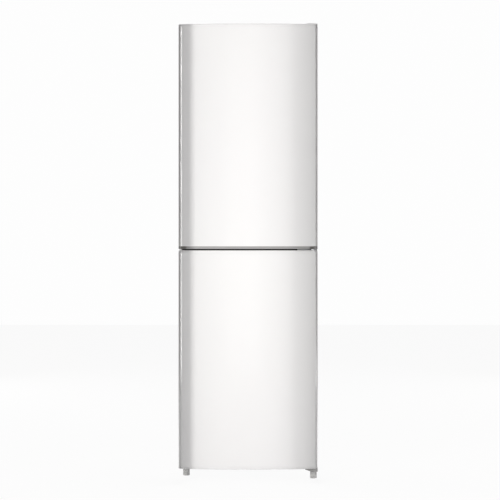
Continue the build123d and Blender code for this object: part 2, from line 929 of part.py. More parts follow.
# ------------------------------------------------------------------ freezer cooling
# Finned evaporator behind the cover; its two end plates reach the liner and hold the heater.
fins_low = hump_z + fin_lift
fins_high = fins_low + fin_height
fins_y = (cover_y + fin_front_gap, cover_y + fin_front_gap + fin_depth)
fin_half_run = freezer_inside_x - fin_side_gap
tube_ys = (fins_y[0] + tube_inset, fins_y[1] - tube_inset)
tube_half_run = fin_half_run + tube_overrun
tube_levels = [fins_low + tube_lift + i * tube_pitch for i in range(tube_rows)]
heater_z = fins_low - heater_drop
heater_y = sum(fins_y) / 2
fin_step = 2 * fin_half_run / (fin_count + 1)
with BuildPart() as evaporator:
    for y in tube_ys:
        tube_along(serpentine(tube_half_run, y, tube_levels, tube_pitch / 2), tube_radius)
    last_end = tube_half_run if tube_rows % 2 else -tube_half_run
    rod(tube_radius, (last_end, tube_ys[0], tube_levels[-1]), (last_end, tube_ys[1], tube_levels[-1]))
    for i in range(fin_count):
        x = (i + 1) * fin_step - fin_half_run
        block((x - fin_sheet / 2, x + fin_sheet / 2), fins_y, (fins_low, fins_high))
    for side in both_sides:
        block(
            mirrored(side, fin_half_run, fin_half_run + end_plate),
            (fins_y[0], inside_back_y),
            (heater_z - end_plate_reach, fins_high),
        )
        rod(
            heater_radius + thread_gap,
            (side * (fin_half_run - cut_past), heater_y, heater_z),
            (side * (fin_half_run + end_plate + cut_past), heater_y, heater_z),
            mode=Mode.SUBTRACT,
        )
save(evaporator, "evaporator")

heater_end = fin_half_run + end_plate + heater_overrun
with BuildPart() as defrost_heater:
    rod(heater_radius, (-heater_end, heater_y, heater_z), (heater_end, heater_y, heater_z))
    for side in both_sides:
        rod(
            heater_cap_radius,
            (side * (heater_end - heater_cap_length), heater_y, heater_z),
            (side * heater_end, heater_y, heater_z),
        )
save(defrost_heater, "defrost_heater")

# The trough under the evaporator, with the pipe that drains it to the evaporation tray.
trough_high = heater_z - trough_drop
trough_low = trough_high - trough_depth
trough_x = heater_end + trough_end_gap
with BuildPart() as drain_trough:
    block((-trough_x, trough_x), (cover_y + running_gap, inside_back_y), (trough_low, trough_high))
    trough_mouth = drain_trough.faces().sort_by(Axis.Z)[-1]
    offset(amount=-trough_wall, openings=trough_mouth)
    rod(
        drain_radius,
        (drain_x, drain_y, tray_high - drain_end_drop),
        (drain_x, drain_y, trough_low + trough_wall),
    )
    rod(
        drain_radius - drain_wall,
        (drain_x, drain_y, tray_high - drain_end_drop),
        (drain_x, drain_y, trough_low + trough_wall + cut_past),
        mode=Mode.SUBTRACT,
    )
save(drain_trough, "drain_trough")

# The cover in front of the evaporator: air slots above each drawer, the fan's grille, and
# return slots at the foot.
fan_z = freezer_ceiling - fan_drop
through_cover = (cover_y - cover_sheet - cut_past, cover_y + cut_past)
with BuildPart() as evaporator_cover:
    block(
        (-freezer_inside_x + cover_side_gap, freezer_inside_x - cover_side_gap),
        (cover_y - cover_sheet, cover_y),
        (hump_top, freezer_ceiling),
    )
    with Locations((0, cover_y, fan_z), (0, cover_y, fan_z - drawer_zone)):
        with GridLocations(2 * air_slot_x, 0, 2, 1):
            for k in range(air_slot_rows):
                with Locations((0, 0, k * air_slot_pitch)):
                    Box(air_slot_width, 2 * (cover_sheet + cut_past), air_slot_height, mode=Mode.SUBTRACT)
    for k in range(grille_bars):
        rise = (k - (grille_bars - 1) / 2) * air_slot_pitch
        half_chord = ((fan_radius + grille_margin) ** 2 - rise**2) ** 0.5
        block(
            (-half_chord, half_chord),
            through_cover,
            (fan_z + rise - air_slot_height / 2, fan_z + rise + air_slot_height / 2),
            mode=Mode.SUBTRACT,
        )
    for k in range(return_slot_count):
        x = (k - (return_slot_count - 1) / 2) * return_slot_pitch
        block(
            (x - return_slot_width / 2, x + return_slot_width / 2),
            through_cover,
            (hump_top + return_slot_lift, hump_top + return_slot_lift + return_slot_height),
            mode=Mode.SUBTRACT,
        )
save(evaporator_cover, "evaporator_cover")

# The fan motor hangs from the cover on a strap and two pillars; the blade spins on its shaft.
hub_y = (cover_y + fan_setback, cover_y + fan_setback + hub_length)
motor_front = hub_y[1] + motor_gap
strap_y = (motor_front + strap_setback, motor_front + strap_setback + strap_sheet)
pillar_x = fan_radius + pillar_gap
with BuildPart() as fan_motor:
    rod(motor_radius, (0, motor_front, fan_z), (0, motor_front + motor_length, fan_z))
    rod(fan_shaft_radius, (0, hub_y[0], fan_z), (0, motor_front, fan_z))
    block(
        (-pillar_x - pillar_radius, pillar_x + pillar_radius),
        strap_y,
        (fan_z - strap_width / 2, fan_z + strap_width / 2),
    )
    for side in both_sides:
        rod(pillar_radius, (side * pillar_x, cover_y, fan_z), (side * pillar_x, strap_y[0], fan_z))
save(fan_motor, "fan_motor")

blade_inner = hub_radius - blade_root
with BuildPart() as fan_blade:
    rod(hub_radius, (0, hub_y[0], fan_z), (0, hub_y[1], fan_z))
    for i in range(blade_count):
        turn = radians(360 / blade_count * i)
        out = Vector(cos(turn), 0, sin(turn))
        tilted = Vector(0, 1, 0).rotate(Axis((0, 0, 0), out), blade_pitch)
        middle = Vector(0, sum(hub_y) / 2, fan_z) + out * (fan_radius + blade_inner) / 2
        with Locations(Plane(origin=middle, x_dir=out, z_dir=tilted)):
            Box(fan_radius - blade_inner, blade_chord, blade_sheet)
    rod(
        fan_shaft_radius + thread_gap,
        (0, hub_y[0] - hub_length, fan_z),
        (0, hub_y[1] + hub_length, fan_z),
        mode=Mode.SUBTRACT,
    )
save(fan_blade, "fan_blade")

# ------------------------------------------------------------------ air duct and damper
# Cold air rises from the freezer through the throat and leaves by vents above each shelf.
duct_x = (-duct_width / 2, duct_width / 2)
duct_y = (inside_back_y - duct_depth, inside_back_y)
duct_high = shelf_heights[-1] + duct_above_top_shelf
damper_z = fridge_floor - damper_drop
damper_y = throat_y[1] - duct_wall - damper_axis_gap
with BuildPart() as air_duct:
    block(duct_x, duct_y, (fridge_floor, duct_high))
    block(throat_x, throat_y, throat_z)
    block(
        (duct_x[0] + duct_wall, duct_x[1] - duct_wall),
        (duct_y[0] + duct_wall, duct_y[1] - duct_wall),
        (fridge_floor + duct_wall, duct_high - duct_wall),
        mode=Mode.SUBTRACT,
    )
    block(
        (throat_x[0] + duct_wall, throat_x[1] - duct_wall),
        (throat_y[0] + duct_wall, throat_y[1] - duct_wall),
        (freezer_ceiling, fridge_floor + duct_wall),
        mode=Mode.SUBTRACT,
    )
    for height in shelf_heights:
        for k in range(vent_rows):
            vent_low = height + vent_lift + k * vent_pitch
            block(
                (-vent_width / 2, vent_width / 2),
                (duct_y[0] - cut_past, duct_y[0] + duct_wall + cut_past),
                (vent_low, vent_low + vent_height),
                mode=Mode.SUBTRACT,
            )
    rod(
        damper_pin_radius + thread_gap,
        (throat_x[0] - cut_past, damper_y, damper_z),
        (throat_x[1] + cut_past, damper_y, damper_z),
        mode=Mode.SUBTRACT,
    )
save(air_duct, "air_duct")

flap_x = throat_x[1] - duct_wall - damper_gap
with BuildPart() as damper_flap:
    block(
        (-flap_x, flap_x),
        (throat_y[0] + duct_wall + damper_gap, damper_y),
        (damper_z - damper_sheet / 2, damper_z + damper_sheet / 2),
    )
    rod(
        damper_pin_radius,
        (throat_x[0] + damper_pin_inset, damper_y, damper_z),
        (throat_x[1] - damper_pin_inset, damper_y, damper_z),
    )
save(damper_flap, "damper_flap")

# ------------------------------------------------------------------ control unit
# The housing under the ceiling, open on top, with the dial and the button in its front.
control_y = (shelf_front_y + control_setback, shelf_front_y + control_setback + control_length)
control_low = fridge_ceiling - control_height
dial_z = control_low + dial_lift
through_front = (control_y[0] - cut_past, control_y[0] + control_wall + cut_past)
lens_y = (control_y[0] + lens_front_gap, control_y[1] - lens_back_gap)
with BuildPart() as control_housing:
    block((-control_half_width, control_half_width), control_y, (control_low, fridge_ceiling))
    control_edges = control_housing.edges().filter_by(Axis.Z)
    fillet(control_edges, control_corner)
    block(
        (-control_half_width + control_side_wall, control_half_width - control_side_wall),
        (control_y[0] + control_wall, control_y[1] - control_wall),
        (control_low + control_wall, fridge_ceiling),
        mode=Mode.SUBTRACT,
    )
    block(
        (-lens_half_width, lens_half_width),
        lens_y,
        (control_low, control_low + control_wall),
        mode=Mode.SUBTRACT,
    )
    rod(
        spindle_radius + thread_gap,
        (dial_x, through_front[0], dial_z),
        (dial_x, through_front[1], dial_z),
        mode=Mode.SUBTRACT,
    )
    block(
        (
            button_x - button_half_width - button_clearance,
            button_x + button_half_width + button_clearance,
        ),
        through_front,
        (
            dial_z - button_half_height - button_clearance,
            dial_z + button_half_height + button_clearance,
        ),
        mode=Mode.SUBTRACT,
    )
save(control_housing, "control_housing")

lens_top = control_low + control_wall
with BuildPart() as lamp_lens:
    block(
        (-lens_half_width - lens_flange, lens_half_width + lens_flange),
        (lens_y[0] - lens_flange, lens_y[1] + lens_flange),
        (lens_top, lens_top + lens_sheet),
    )
    block(
        (-lens_half_width + lens_fit, lens_half_width - lens_fit),
        (lens_y[0] + lens_fit, lens_y[1] - lens_fit),
        (control_low - lens_sheet, lens_top),
    )
    lens_edges = lamp_lens.edges().group_by(Axis.Z)[0]
    fillet(lens_edges, lens_radius)
save(lamp_lens, "lamp_lens")

dial_front = control_y[0] - running_gap - dial_depth
with BuildPart() as thermostat_dial:
    rod(dial_radius, (dial_x, dial_front, dial_z), (dial_x, dial_front + dial_depth, dial_z))
    dial_rim = thermostat_dial.edges().filter_by(GeomType.CIRCLE).sort_by(Axis.Y)[0]
    fillet(dial_rim, dial_edge)
    rod(
        spindle_radius,
        (dial_x, dial_front + dial_edge, dial_z),
        (dial_x, control_y[0] + spindle_length, dial_z),
    )
    block(
        (dial_x - pointer_width / 2, dial_x + pointer_width / 2),
        (dial_front - pointer_rise, dial_front + dial_edge),
        (dial_z, dial_z + pointer_length),
    )
save(thermostat_dial, "thermostat_dial")

inside_front_y = control_y[0] + control_wall + running_gap
with BuildPart() as cooling_button:
    block(
        (button_x - button_half_width, button_x + button_half_width),
        (control_y[0] - button_proud, inside_front_y),
        (dial_z - button_half_height, dial_z + button_half_height),
    )
    block(
        (
            button_x - button_half_width - button_flange,
            button_x + button_half_width + button_flange,
        ),
        (inside_front_y, inside_front_y + button_flange),
        (dial_z - button_half_height - button_flange, dial_z + button_half_height + button_flange),
    )
save(cooling_button, "cooling_button")

# ------------------------------------------------------------------ shelves
glass_x = fridge_inside_x - shelf_side_gap
glass_y = (shelf_front_y + glass_edge_gap, shelf_back_y - glass_edge_gap)
with BuildPart() as fridge_shelf_glass:
    for height in shelf_heights:
        block((-glass_x, glass_x), glass_y, (height, height + shelf_glass))
save(fridge_shelf_glass, "fridge_shelf_glass")

# Plastic profiles clipped on the front and rear edges of every glass shelf; the rear one has
# a raised lip.
front_trim_y = (shelf_front_y, shelf_front_y + trim_depth)
rear_trim_y = (shelf_back_y - trim_depth, shelf_back_y)
with BuildPart() as shelf_trims:
    for height in shelf_heights:
        glass_top = height + shelf_glass
        block((-glass_x, glass_x), front_trim_y, (height - trim_below, glass_top + trim_front_rise))
        block((-glass_x, glass_x), rear_trim_y, (height - trim_below, glass_top + trim_rear_rise))
        block(
            (-glass_x, glass_x),
            (rear_trim_y[0], rear_trim_y[1] - trim_rear_lip),
            (glass_top + trim_rear_floor, glass_top + trim_rear_rise),
            mode=Mode.SUBTRACT,
        )
        block((-glass_x, glass_x), glass_y, (height, glass_top), mode=Mode.SUBTRACT)
save(shelf_trims, "shelf_trims")

freezer_glass_x = freezer_inside_x - freezer_glass_side_gap
with BuildPart() as freezer_shelf_glass:
    for low in freezer_glass_lows:
        block(
            (-freezer_glass_x, freezer_glass_x),
            (drawer_y + rail_setback, cover_y - freezer_glass_back_gap),
            (low, low + freezer_glass),
        )
save(freezer_shelf_glass, "freezer_shelf_glass")

# ------------------------------------------------------------------ drawers
# Each freezer drawer is an open tub behind a flat front with a finger slot, with a rim along
# both sides; the bottom one is shorter because of the step over the compressor.
tub_y = drawer_y + drawer_front
for name, low, end in zip(drawer_names, drawer_lows, drawer_backs):
    high = low + drawer_height
    with BuildPart() as drawer:
        block((-drawer_x, drawer_x), (tub_y, end), (low, high))
        rear_edges = drawer.edges().filter_by(Axis.Z).group_by(Axis.Y)[-1]
        fillet(rear_edges, drawer_corner)
        block(
            (-drawer_x - drawer_rim, drawer_x + drawer_rim),
            (tub_y, end),
            (high - drawer_rim_sheet, high),
        )
        block(
            (-drawer_x - drawer_rim, drawer_x + drawer_rim),
            (drawer_y, tub_y),
            (low, high + drawer_front_rise),
        )
        with BuildSketch(Plane.XY.offset(low + tub_wall)):
            with Locations((0, (tub_y + end) / 2)):
                RectangleRounded(
                    2 * (drawer_x - tub_wall),
                    end - tub_y - 2 * tub_wall,
                    drawer_corner - tub_wall,
                )
        extrude(amount=drawer_height, mode=Mode.SUBTRACT)
        with BuildSketch(Plane.XZ.offset(-tub_y)):
            with Locations((0, high - drawer_slot_drop)):
                SlotOverall(drawer_slot_width, drawer_slot_height)
        extrude(amount=drawer_front + tub_wall, both=True, mode=Mode.SUBTRACT)
    save(drawer, name)

# The crisper stands on two runners on the fridge's floor, under the lowest shelf.
crisper_x = fridge_inside_x - crisper_side_gap
crisper_y = (shelf_front_y - crisper_lead, shelf_back_y - glass_edge_gap)
crisper_low = fridge_floor + crisper_lift
crisper_high = crisper_low + crisper_height
with BuildPart() as crisper:
    block((-crisper_x, crisper_x), crisper_y, (crisper_low, crisper_high))
    crisper_corners = crisper.edges().filter_by(Axis.Z)
    fillet(crisper_corners, crisper_corner)
    with BuildSketch(Plane.XY.offset(crisper_low + tub_wall)):
        with Locations((0, sum(crisper_y) / 2)):
            RectangleRounded(
                2 * (crisper_x - tub_wall),
                crisper_y[1] - crisper_y[0] - 2 * tub_wall,
                crisper_corner - tub_wall,
            )
    extrude(amount=crisper_height, mode=Mode.SUBTRACT)
    block(
        (-crisper_lip_width / 2, crisper_lip_width / 2),
        (crisper_y[0] + tub_wall / 2, crisper_y[0] + tub_wall / 2 + crisper_lip_depth),
        (crisper_high - crisper_lip_sheet, crisper_high),
    )
    for side in both_sides:
        block(
            mirrored(side, crisper_x - runner_inset - runner_width, crisper_x - runner_inset),
            (crisper_y[0] + runner_end_gap, crisper_y[1] - runner_end_gap),
            (fridge_floor + running_gap, crisper_low),
        )
save(crisper, "crisper")


# ------------------------------------------------------------------ doors
def door_outline(inset, z, back):
    """The door seen from above at one height: crowned front, rounded corners and flat back."""
    half = half_width - inset
    edge_y = door_edge_y + inset
    with BuildSketch(Plane.XY.offset(z), mode=Mode.PRIVATE) as outline:
        with BuildLine():
            ThreePointArc((-half, edge_y), (0, crown_y + inset), (half, edge_y))
            Polyline((half, edge_y), (half, back), (-half, back), (-half, edge_y))
        make_face()
        fillet(outline.vertices().group_by(Axis.Y)[0], door_corner_radius - inset)
    return outline.sketch


grip_front_y = door_edge_y + grip_setback
grip_y = (grip_front_y, grip_front_y + grip_width)
skin_x = half_width - shell_sheet


def door_sheet(name, z, grip_z):
    """The painted steel front of a door, folded back along both sides."""
    with BuildPart() as skin:
        extrude(door_outline(0, z[0], door_back_y), amount=z[1] - z[0])
        extrude(door_outline(shell_sheet, z[0], door_back_y), amount=z[1] - z[0], mode=Mode.SUBTRACT)
        block((-half_width, -half_width + grip_wall), grip_y, grip_z, mode=Mode.SUBTRACT)
    save(skin, f"{name}_skin")


def door_filling(name, z, grip_z, raised):
    """The foam inside a door, up into what the liner has raised, with room for grip and bushes."""
    with BuildPart() as filling:
        extrude(door_outline(shell_sheet, z[0], door_back_y - liner_sheet), amount=z[1] - z[0])
        for box in raised:
            block(*box)
        block((-half_width, -half_width + grip_reach), grip_y, grip_z, mode=Mode.SUBTRACT)
        for x in (-hinge_x, hinge_x):
            rod(bush_radius, (x, hinge_y, z[0]), (x, hinge_y, z[0] + bush_length), mode=Mode.SUBTRACT)
            rod(bush_radius, (x, hinge_y, z[1] - bush_length), (x, hinge_y, z[1]), mode=Mode.SUBTRACT)
    save(filling, f"{name}_foam")


def door_seal(name, z):
    """The magnetic gasket: a soft frame round the door's back, inset as far as the hinge pin."""
    seal_y = (door_back_y, front_y - running_gap)
    outer_z = (z[0] + pin_inset, z[1] - pin_inset)
    inner_z = (outer_z[0] + gasket_width, outer_z[1] - gasket_width)
    with BuildPart() as seal:
        block((-hinge_x, hinge_x), seal_y, outer_z)
        block((-hinge_x + gasket_width, hinge_x - gasket_width), seal_y, inner_z, mode=Mode.SUBTRACT)
        sealing_edges = seal.edges().group_by(Axis.Y)[-1]
        fillet(sealing_edges, gasket_radius)
    save(seal, f"{name}_gasket")


def door_grip(name, z):
    """The plastic cup in the door's left edge that the fingers pull."""
    with BuildPart() as cup:
        block((-half_width, -half_width + grip_reach), grip_y, z)
        with BuildSketch(Plane.YZ.offset(-half_width)):
            with Locations((sum(grip_y) / 2, sum(z) / 2)):
                RectangleRounded(
                    grip_width - 2 * grip_wall,
                    grip_height - 2 * grip_wall,
                    grip_corner,
                )
        extrude(amount=grip_reach - grip_wall, mode=Mode.SUBTRACT)
    save(cup, f"{name}_grip")


def end_cap(z, bush_up, notched=False):
    """A door's plastic end cap with a hinge bush at each side, so that the door can change sides."""
    extrude(door_outline(0, z[0], door_back_y), amount=z[1] - z[0])
    face = z[0] if bush_up else z[1]
    inward = 1 if bush_up else -1
    for x in (-hinge_x, hinge_x):
        if notched:
            block(
                (x - cap_notch_width / 2, x + cap_notch_width / 2),
                (crown_y, hinge_y - bush_radius + cap_notch_overlap),
                z,
                mode=Mode.SUBTRACT,
            )
        rod(bush_radius, (x, hinge_y, face), (x, hinge_y, face + inward * bush_length))
        rod(
            pin_radius + pin_clearance,
            (x, hinge_y, face),
            (x, hinge_y, face + inward * (bush_length - bush_floor)),
            mode=Mode.SUBTRACT,
        )


fridge_skin = (fridge_door_low + grey_cap, fridge_door_high - door_cap)
freezer_skin = (freezer_door_low + door_cap, freezer_door_high - door_cap)
fridge_grip_low = fridge_door_low + grip_from_door_end
fridge_grip_z = (fridge_grip_low, fridge_grip_low + grip_height)
freezer_grip_high = freezer_door_high - grip_from_door_end
freezer_grip_z = (freezer_grip_high - grip_height, freezer_grip_high)

# The fridge door's liner has two upright dykes with bosses that the bins hang on.
dyke_inner_x = fridge_inside_x - dyke_side_gap - dyke_width
dyke_z = (fridge_floor + dyke_end_gap, fridge_ceiling - dyke_end_gap)
dykes = [
    (
        mirrored(side, dyke_inner_x, dyke_inner_x + dyke_width),
        (door_back_y, door_back_y + dyke_depth),
        dyke_z,
    )
    for side in both_sides
]
dyke_hollows = [
    (
        mirrored(side, dyke_inner_x + liner_sheet, dyke_inner_x + dyke_width - liner_sheet),
        (door_back_y - liner_sheet, door_back_y + dyke_depth - liner_sheet),
        (dyke_z[0] + liner_sheet, dyke_z[1] - liner_sheet),
    )
    for side in both_sides
]
bin_lows = [fridge_floor + height for height in bin_floor_heights]
dairy_low = fridge_floor + dairy_floor_height
dairy_high = dairy_low + dairy_height
hung_tops = [low + bin_height for low in bin_lows] + [dairy_high]
tab_y = (door_back_y + tab_setback, door_back_y + tab_setback + tab_length)

door_sheet("fridge_door", fridge_skin, fridge_grip_z)
door_filling("fridge_door", fridge_skin, fridge_grip_z, dyke_hollows)
door_seal("fridge_door", (fridge_door_low, fridge_door_high))
door_grip("fridge_door", fridge_grip_z)

with BuildPart() as fridge_door_liner:
    block((-skin_x, skin_x), (door_back_y - liner_sheet, door_back_y), fridge_skin)
    for box in dykes:
        block(*box)
    for box in dyke_hollows:
        block(*box, mode=Mode.SUBTRACT)
    for side in both_sides:
        for top in hung_tops:
            block(
                mirrored(side, dyke_inner_x - bin_tab, dyke_inner_x),
                tab_y,
                (top - tab_sheet - boss_height, top - tab_sheet),
            )
save(fridge_door_liner, "fridge_door_liner")

with BuildPart() as fridge_door_top_cap:
    end_cap((fridge_skin[1], fridge_door_high), bush_up=False)
save(fridge_door_top_cap, "fridge_door_top_cap")

with BuildPart() as fridge_door_bottom_cap:
    end_cap((fridge_door_low, fridge_skin[0]), bush_up=True, notched=True)
save(fridge_door_bottom_cap, "fridge_door_bottom_cap")

# The freezer door's liner has one low plateau, clear of the drawers' fronts.
plateau_half_width = freezer_inside_x - plateau_side_gap
plateau_z = (freezer_low + plateau_end_gap, freezer_high - plateau_end_gap)
plateau_hollow = (
    (-plateau_half_width + liner_sheet, plateau_half_width - liner_sheet),
    (door_back_y - liner_sheet, door_back_y + plateau_depth - liner_sheet),
    (plateau_z[0] + liner_sheet, plateau_z[1] - liner_sheet),
)
door_sheet("freezer_door", freezer_skin, freezer_grip_z)
door_filling("freezer_door", freezer_skin, freezer_grip_z, [plateau_hollow])
door_seal("freezer_door", (freezer_door_low, freezer_door_high))
door_grip("freezer_door", freezer_grip_z)

with BuildPart() as freezer_door_liner:
    block((-skin_x, skin_x), (door_back_y - liner_sheet, door_back_y), freezer_skin)
    plateau_y = (door_back_y, door_back_y + plateau_depth)
    block((-plateau_half_width, plateau_half_width), plateau_y, plateau_z)
    plateau_edges = freezer_door_liner.edges().group_by(Axis.Y)[-1]
    chamfer(plateau_edges, plateau_edge)
    block(*plateau_hollow, mode=Mode.SUBTRACT)
save(freezer_door_liner, "freezer_door_liner")

with BuildPart() as freezer_door_caps:
    end_cap((freezer_skin[1], freezer_door_high), bush_up=False)
    end_cap((freezer_door_low, freezer_skin[0]), bush_up=True)
save(freezer_door_caps, "freezer_door_caps")

# ------------------------------------------------------------------ what hangs in the fridge door
bin_x = dyke_inner_x - bin_tab - bin_side_gap
bin_y = (door_back_y + running_gap, door_back_y + running_gap + bin_depth)


def bin_outline(inset, z):
    """A bin seen from above, a wall in, with its two front corners rounded."""
    with BuildSketch(Plane.XY.offset(z), mode=Mode.PRIVATE) as outline:
        with Locations((0, sum(bin_y) / 2)):
            Rectangle(2 * (bin_x - inset), bin_depth - 2 * inset)
        fillet(outline.vertices().group_by(Axis.Y)[-1], bin_corner - inset)
    return outline.sketch


def door_bin(low, high):
    """An open bin whose side tabs rest on the bosses of the dykes."""
    extrude(bin_outline(0, low), amount=high - low)
    block((-bin_x - bin_tab, bin_x + bin_tab), tab_y, (high - tab_sheet, high))
    extrude(bin_outline(bin_wall, low + bin_wall), amount=high - low, mode=Mode.SUBTRACT)


with BuildPart() as door_bins:
    for low in bin_lows:
        door_bin(low, low + bin_height)
save(door_bins, "door_bins")

lid_axis_y = bin_y[0] + lid_pin_setback
lid_z = (dairy_high + lid_lift, dairy_high + lid_lift + lid_sheet)
lid_axis_z = lid_z[0] + lid_pin_radius
with BuildPart() as dairy_bin:
    door_bin(dairy_low, dairy_high)
    for side in both_sides:
        block(
            mirrored(side, bin_x - bin_wall, bin_x),
            (lid_axis_y - lid_ear_half, lid_axis_y + lid_ear_half),
            (dairy_high, lid_axis_z + lid_ear_half),
        )
    rod(
        lid_pin_radius + thread_gap,
        (-bin_x - cut_past, lid_axis_y, lid_axis_z),
        (bin_x + cut_past, lid_axis_y, lid_axis_z),
        mode=Mode.SUBTRACT,
    )
save(dairy_bin, "dairy_bin")

lid_x = bin_x - bin_wall - bin_side_gap
lid_front = bin_y[1] + bin_side_gap + lid_lip_sheet
with BuildPart() as dairy_lid:
    block((-lid_x, lid_x), (lid_axis_y - lid_sheet, lid_front), lid_z)
    block((-lid_x, lid_x), (lid_front - lid_lip_sheet, lid_front), (dairy_high - lid_lip_drop, lid_z[1]))
    lid_edge = dairy_lid.edges().filter_by(Axis.X).group_by(Axis.Y)[-1].sort_by(Axis.Z)[-1]
    fillet(lid_edge, lid_edge_radius)
    rod(
        lid_pin_radius,
        (-bin_x + running_gap, lid_axis_y, lid_axis_z),
        (bin_x - running_gap, lid_axis_y, lid_axis_z),
    )
save(dairy_lid, "dairy_lid")

# The bottle retainer straddles the lower bin's front wall and slides along it; its fin
# reaches back between the bottles.
wall_top = bin_lows[0] + bin_height
clip_slot_y = (bin_y[1] - bin_wall - running_gap, bin_y[1] + running_gap)
clip_z = (wall_top - retainer_height, wall_top + running_gap + retainer_wall)
with BuildPart() as bottle_retainer:
    block(
        (-retainer_width / 2, retainer_width / 2),
        (clip_slot_y[0] - retainer_wall, clip_slot_y[1] + retainer_wall),
        clip_z,
    )
    block(
        (-retainer_width / 2, retainer_width / 2),
        clip_slot_y,
        (clip_z[0], wall_top + running_gap),
        mode=Mode.SUBTRACT,
    )
    block(
        (-retainer_fin / 2, retainer_fin / 2),
        (clip_slot_y[0] - retainer_reach, clip_slot_y[0]),
        (clip_z[1] - retainer_fin_height, clip_z[1]),
    )
save(bottle_retainer, "bottle_retainer")

# ------------------------------------------------------------------ hinges
tongue_x = half_width - hinge_side_gap - hinge_half_width


def hinge_tongue(z, thickness, back):
    """A flat steel plate from the given depth forward round the hinge pin."""
    with BuildSketch(Plane.XY.offset(z), mode=Mode.PRIVATE) as outline:
        with Locations((tongue_x, (hinge_y + back) / 2)):
            Rectangle(2 * hinge_half_width, back - hinge_y)
        with Locations((tongue_x, hinge_y)):
            Circle(hinge_half_width)
    extrude(outline.sketch, amount=thickness)


def pin_part(radius, low, high, mode=Mode.ADD):
    """An upright round part on the hinge line."""
    rod(radius, (hinge_x, hinge_y, low), (hinge_x, hinge_y, high), mode=mode)


with BuildPart() as top_hinge:
    hinge_tongue(cabinet_high, hinge_plate, front_y + top_hinge_reach)
    pin_part(pin_radius, cabinet_high - pin_length, cabinet_high + hinge_plate)
    pin_part(hinge_shoulder_radius, fridge_door_high + running_gap, cabinet_high + hinge_plate)
    screws(top_screws, screw_clearance, Mode.SUBTRACT)
save(top_hinge, "top_hinge")

middle_low = gap_middle - hinge_plate / 2
middle_high = gap_middle + hinge_plate / 2
with BuildPart() as middle_hinge:
    hinge_tongue(middle_low, hinge_plate, front_y)
    block(
        (tongue_x + hinge_half_width - middle_flange_length, tongue_x + hinge_half_width),
        (front_y - hinge_plate, front_y),
        (gap_middle - middle_flange_height / 2, gap_middle + middle_flange_height / 2),
    )
    pin_part(pin_radius, middle_low - pin_length, middle_high + pin_length)
    pin_part(hinge_shoulder_radius, freezer_door_high + running_gap, fridge_door_low - running_gap)
    screws(middle_screws, screw_clearance, Mode.SUBTRACT)
save(middle_hinge, "middle_hinge")

# The bottom hinge also holds the right foot in a threaded boss under its pin.
bottom_plate_low = cabinet_low - foot_plate
boss_low = foot_height + boss_lift
with BuildPart() as bottom_hinge:
    hinge_tongue(bottom_plate_low, foot_plate, front_y + bottom_hinge_reach)
    pin_part(pin_radius, cabinet_low, cabinet_low + pin_length)
    pin_part(hinge_shoulder_radius, cabinet_low, freezer_door_low - running_gap)
    pin_part(sleeve_radius, boss_low, bottom_plate_low)
    pin_part(stem_radius + thread_gap, boss_low, bottom_plate_low, Mode.SUBTRACT)
    screws(bottom_screws, screw_clearance, Mode.SUBTRACT)
save(bottom_hinge, "bottom_hinge")


# ------------------------------------------------------------------ hinge covers
def front_shape(points, y):
    """A solid with the given outline in the front view, between two depths."""
    with BuildSketch(Plane.XZ.offset(-y[0]), mode=Mode.PRIVATE) as outline:
        with BuildLine():
            Polyline(*points, close=True)
        make_face()
    extrude(outline.sketch, amount=y[0] - y[1])


# The top cover steps down over the door's corner and slopes away at both ends.
cover_x = (half_width - cover_length, half_width)
cover_low = fridge_door_high + cover_lift
cover_high = cabinet_high + hinge_plate + cover_rise
cover_back_y = front_y + cover_back_reach
tongue_room_x = (tongue_x - hinge_half_width - cover_fit, tongue_x + hinge_half_width + cover_fit)
with BuildPart() as top_hinge_cover:
    front_shape(
        [
            (cover_x[0], cabinet_high),
            (cover_x[0] + cover_slope, cover_high),
            (cover_x[1] - cover_fall, cover_high),
            (cover_x[1], cabinet_high + hinge_plate),
            (cover_x[1], cover_low),
            (cover_x[0], cover_low),
        ],
        (hinge_y - cover_front_reach, cover_back_y),
    )
    block(
        cover_x,
        (front_y - cover_fit, cover_back_y),
        (cover_low, cabinet_high),
        mode=Mode.SUBTRACT,
    )
    block(
        tongue_room_x,
        (hinge_y - hinge_half_width - cover_fit, front_y + top_hinge_reach + cover_fit),
        (cover_low, cabinet_high + hinge_plate + cover_fit),
        mode=Mode.SUBTRACT,
    )
save(top_hinge_cover, "top_hinge_cover")

# The skirt round the bottom hinge, lower at its outer end.
skirt_high = freezer_door_low - cut_past
skirt_low = skirt_high - skirt_height
skirt_x = (half_width - skirt_length, half_width)
skirt_y = (hinge_y - skirt_front_reach, front_y - cover_fit)
with BuildPart() as bottom_hinge_cover:
    front_shape(
        [
            (skirt_x[0], skirt_high),
            (skirt_x[1], skirt_high),
            (skirt_x[1], skirt_low),
            (skirt_x[0] + skirt_slope, skirt_low),
            (skirt_x[0], skirt_high - skirt_end_height),
        ],
        skirt_y,
    )
    skirt_corners = bottom_hinge_cover.edges().filter_by(Axis.Z).group_by(Axis.Y)[0]
    fillet(skirt_corners, skirt_corner)
    block(
        tongue_room_x,
        (hinge_y - hinge_half_width - cover_fit, skirt_y[1]),
        (skirt_low, cabinet_low + cover_fit),
        mode=Mode.SUBTRACT,
    )
    pin_part(hinge_shoulder_radius + cover_fit, skirt_low, skirt_high, Mode.SUBTRACT)
save(bottom_hinge_cover, "bottom_hinge_cover")

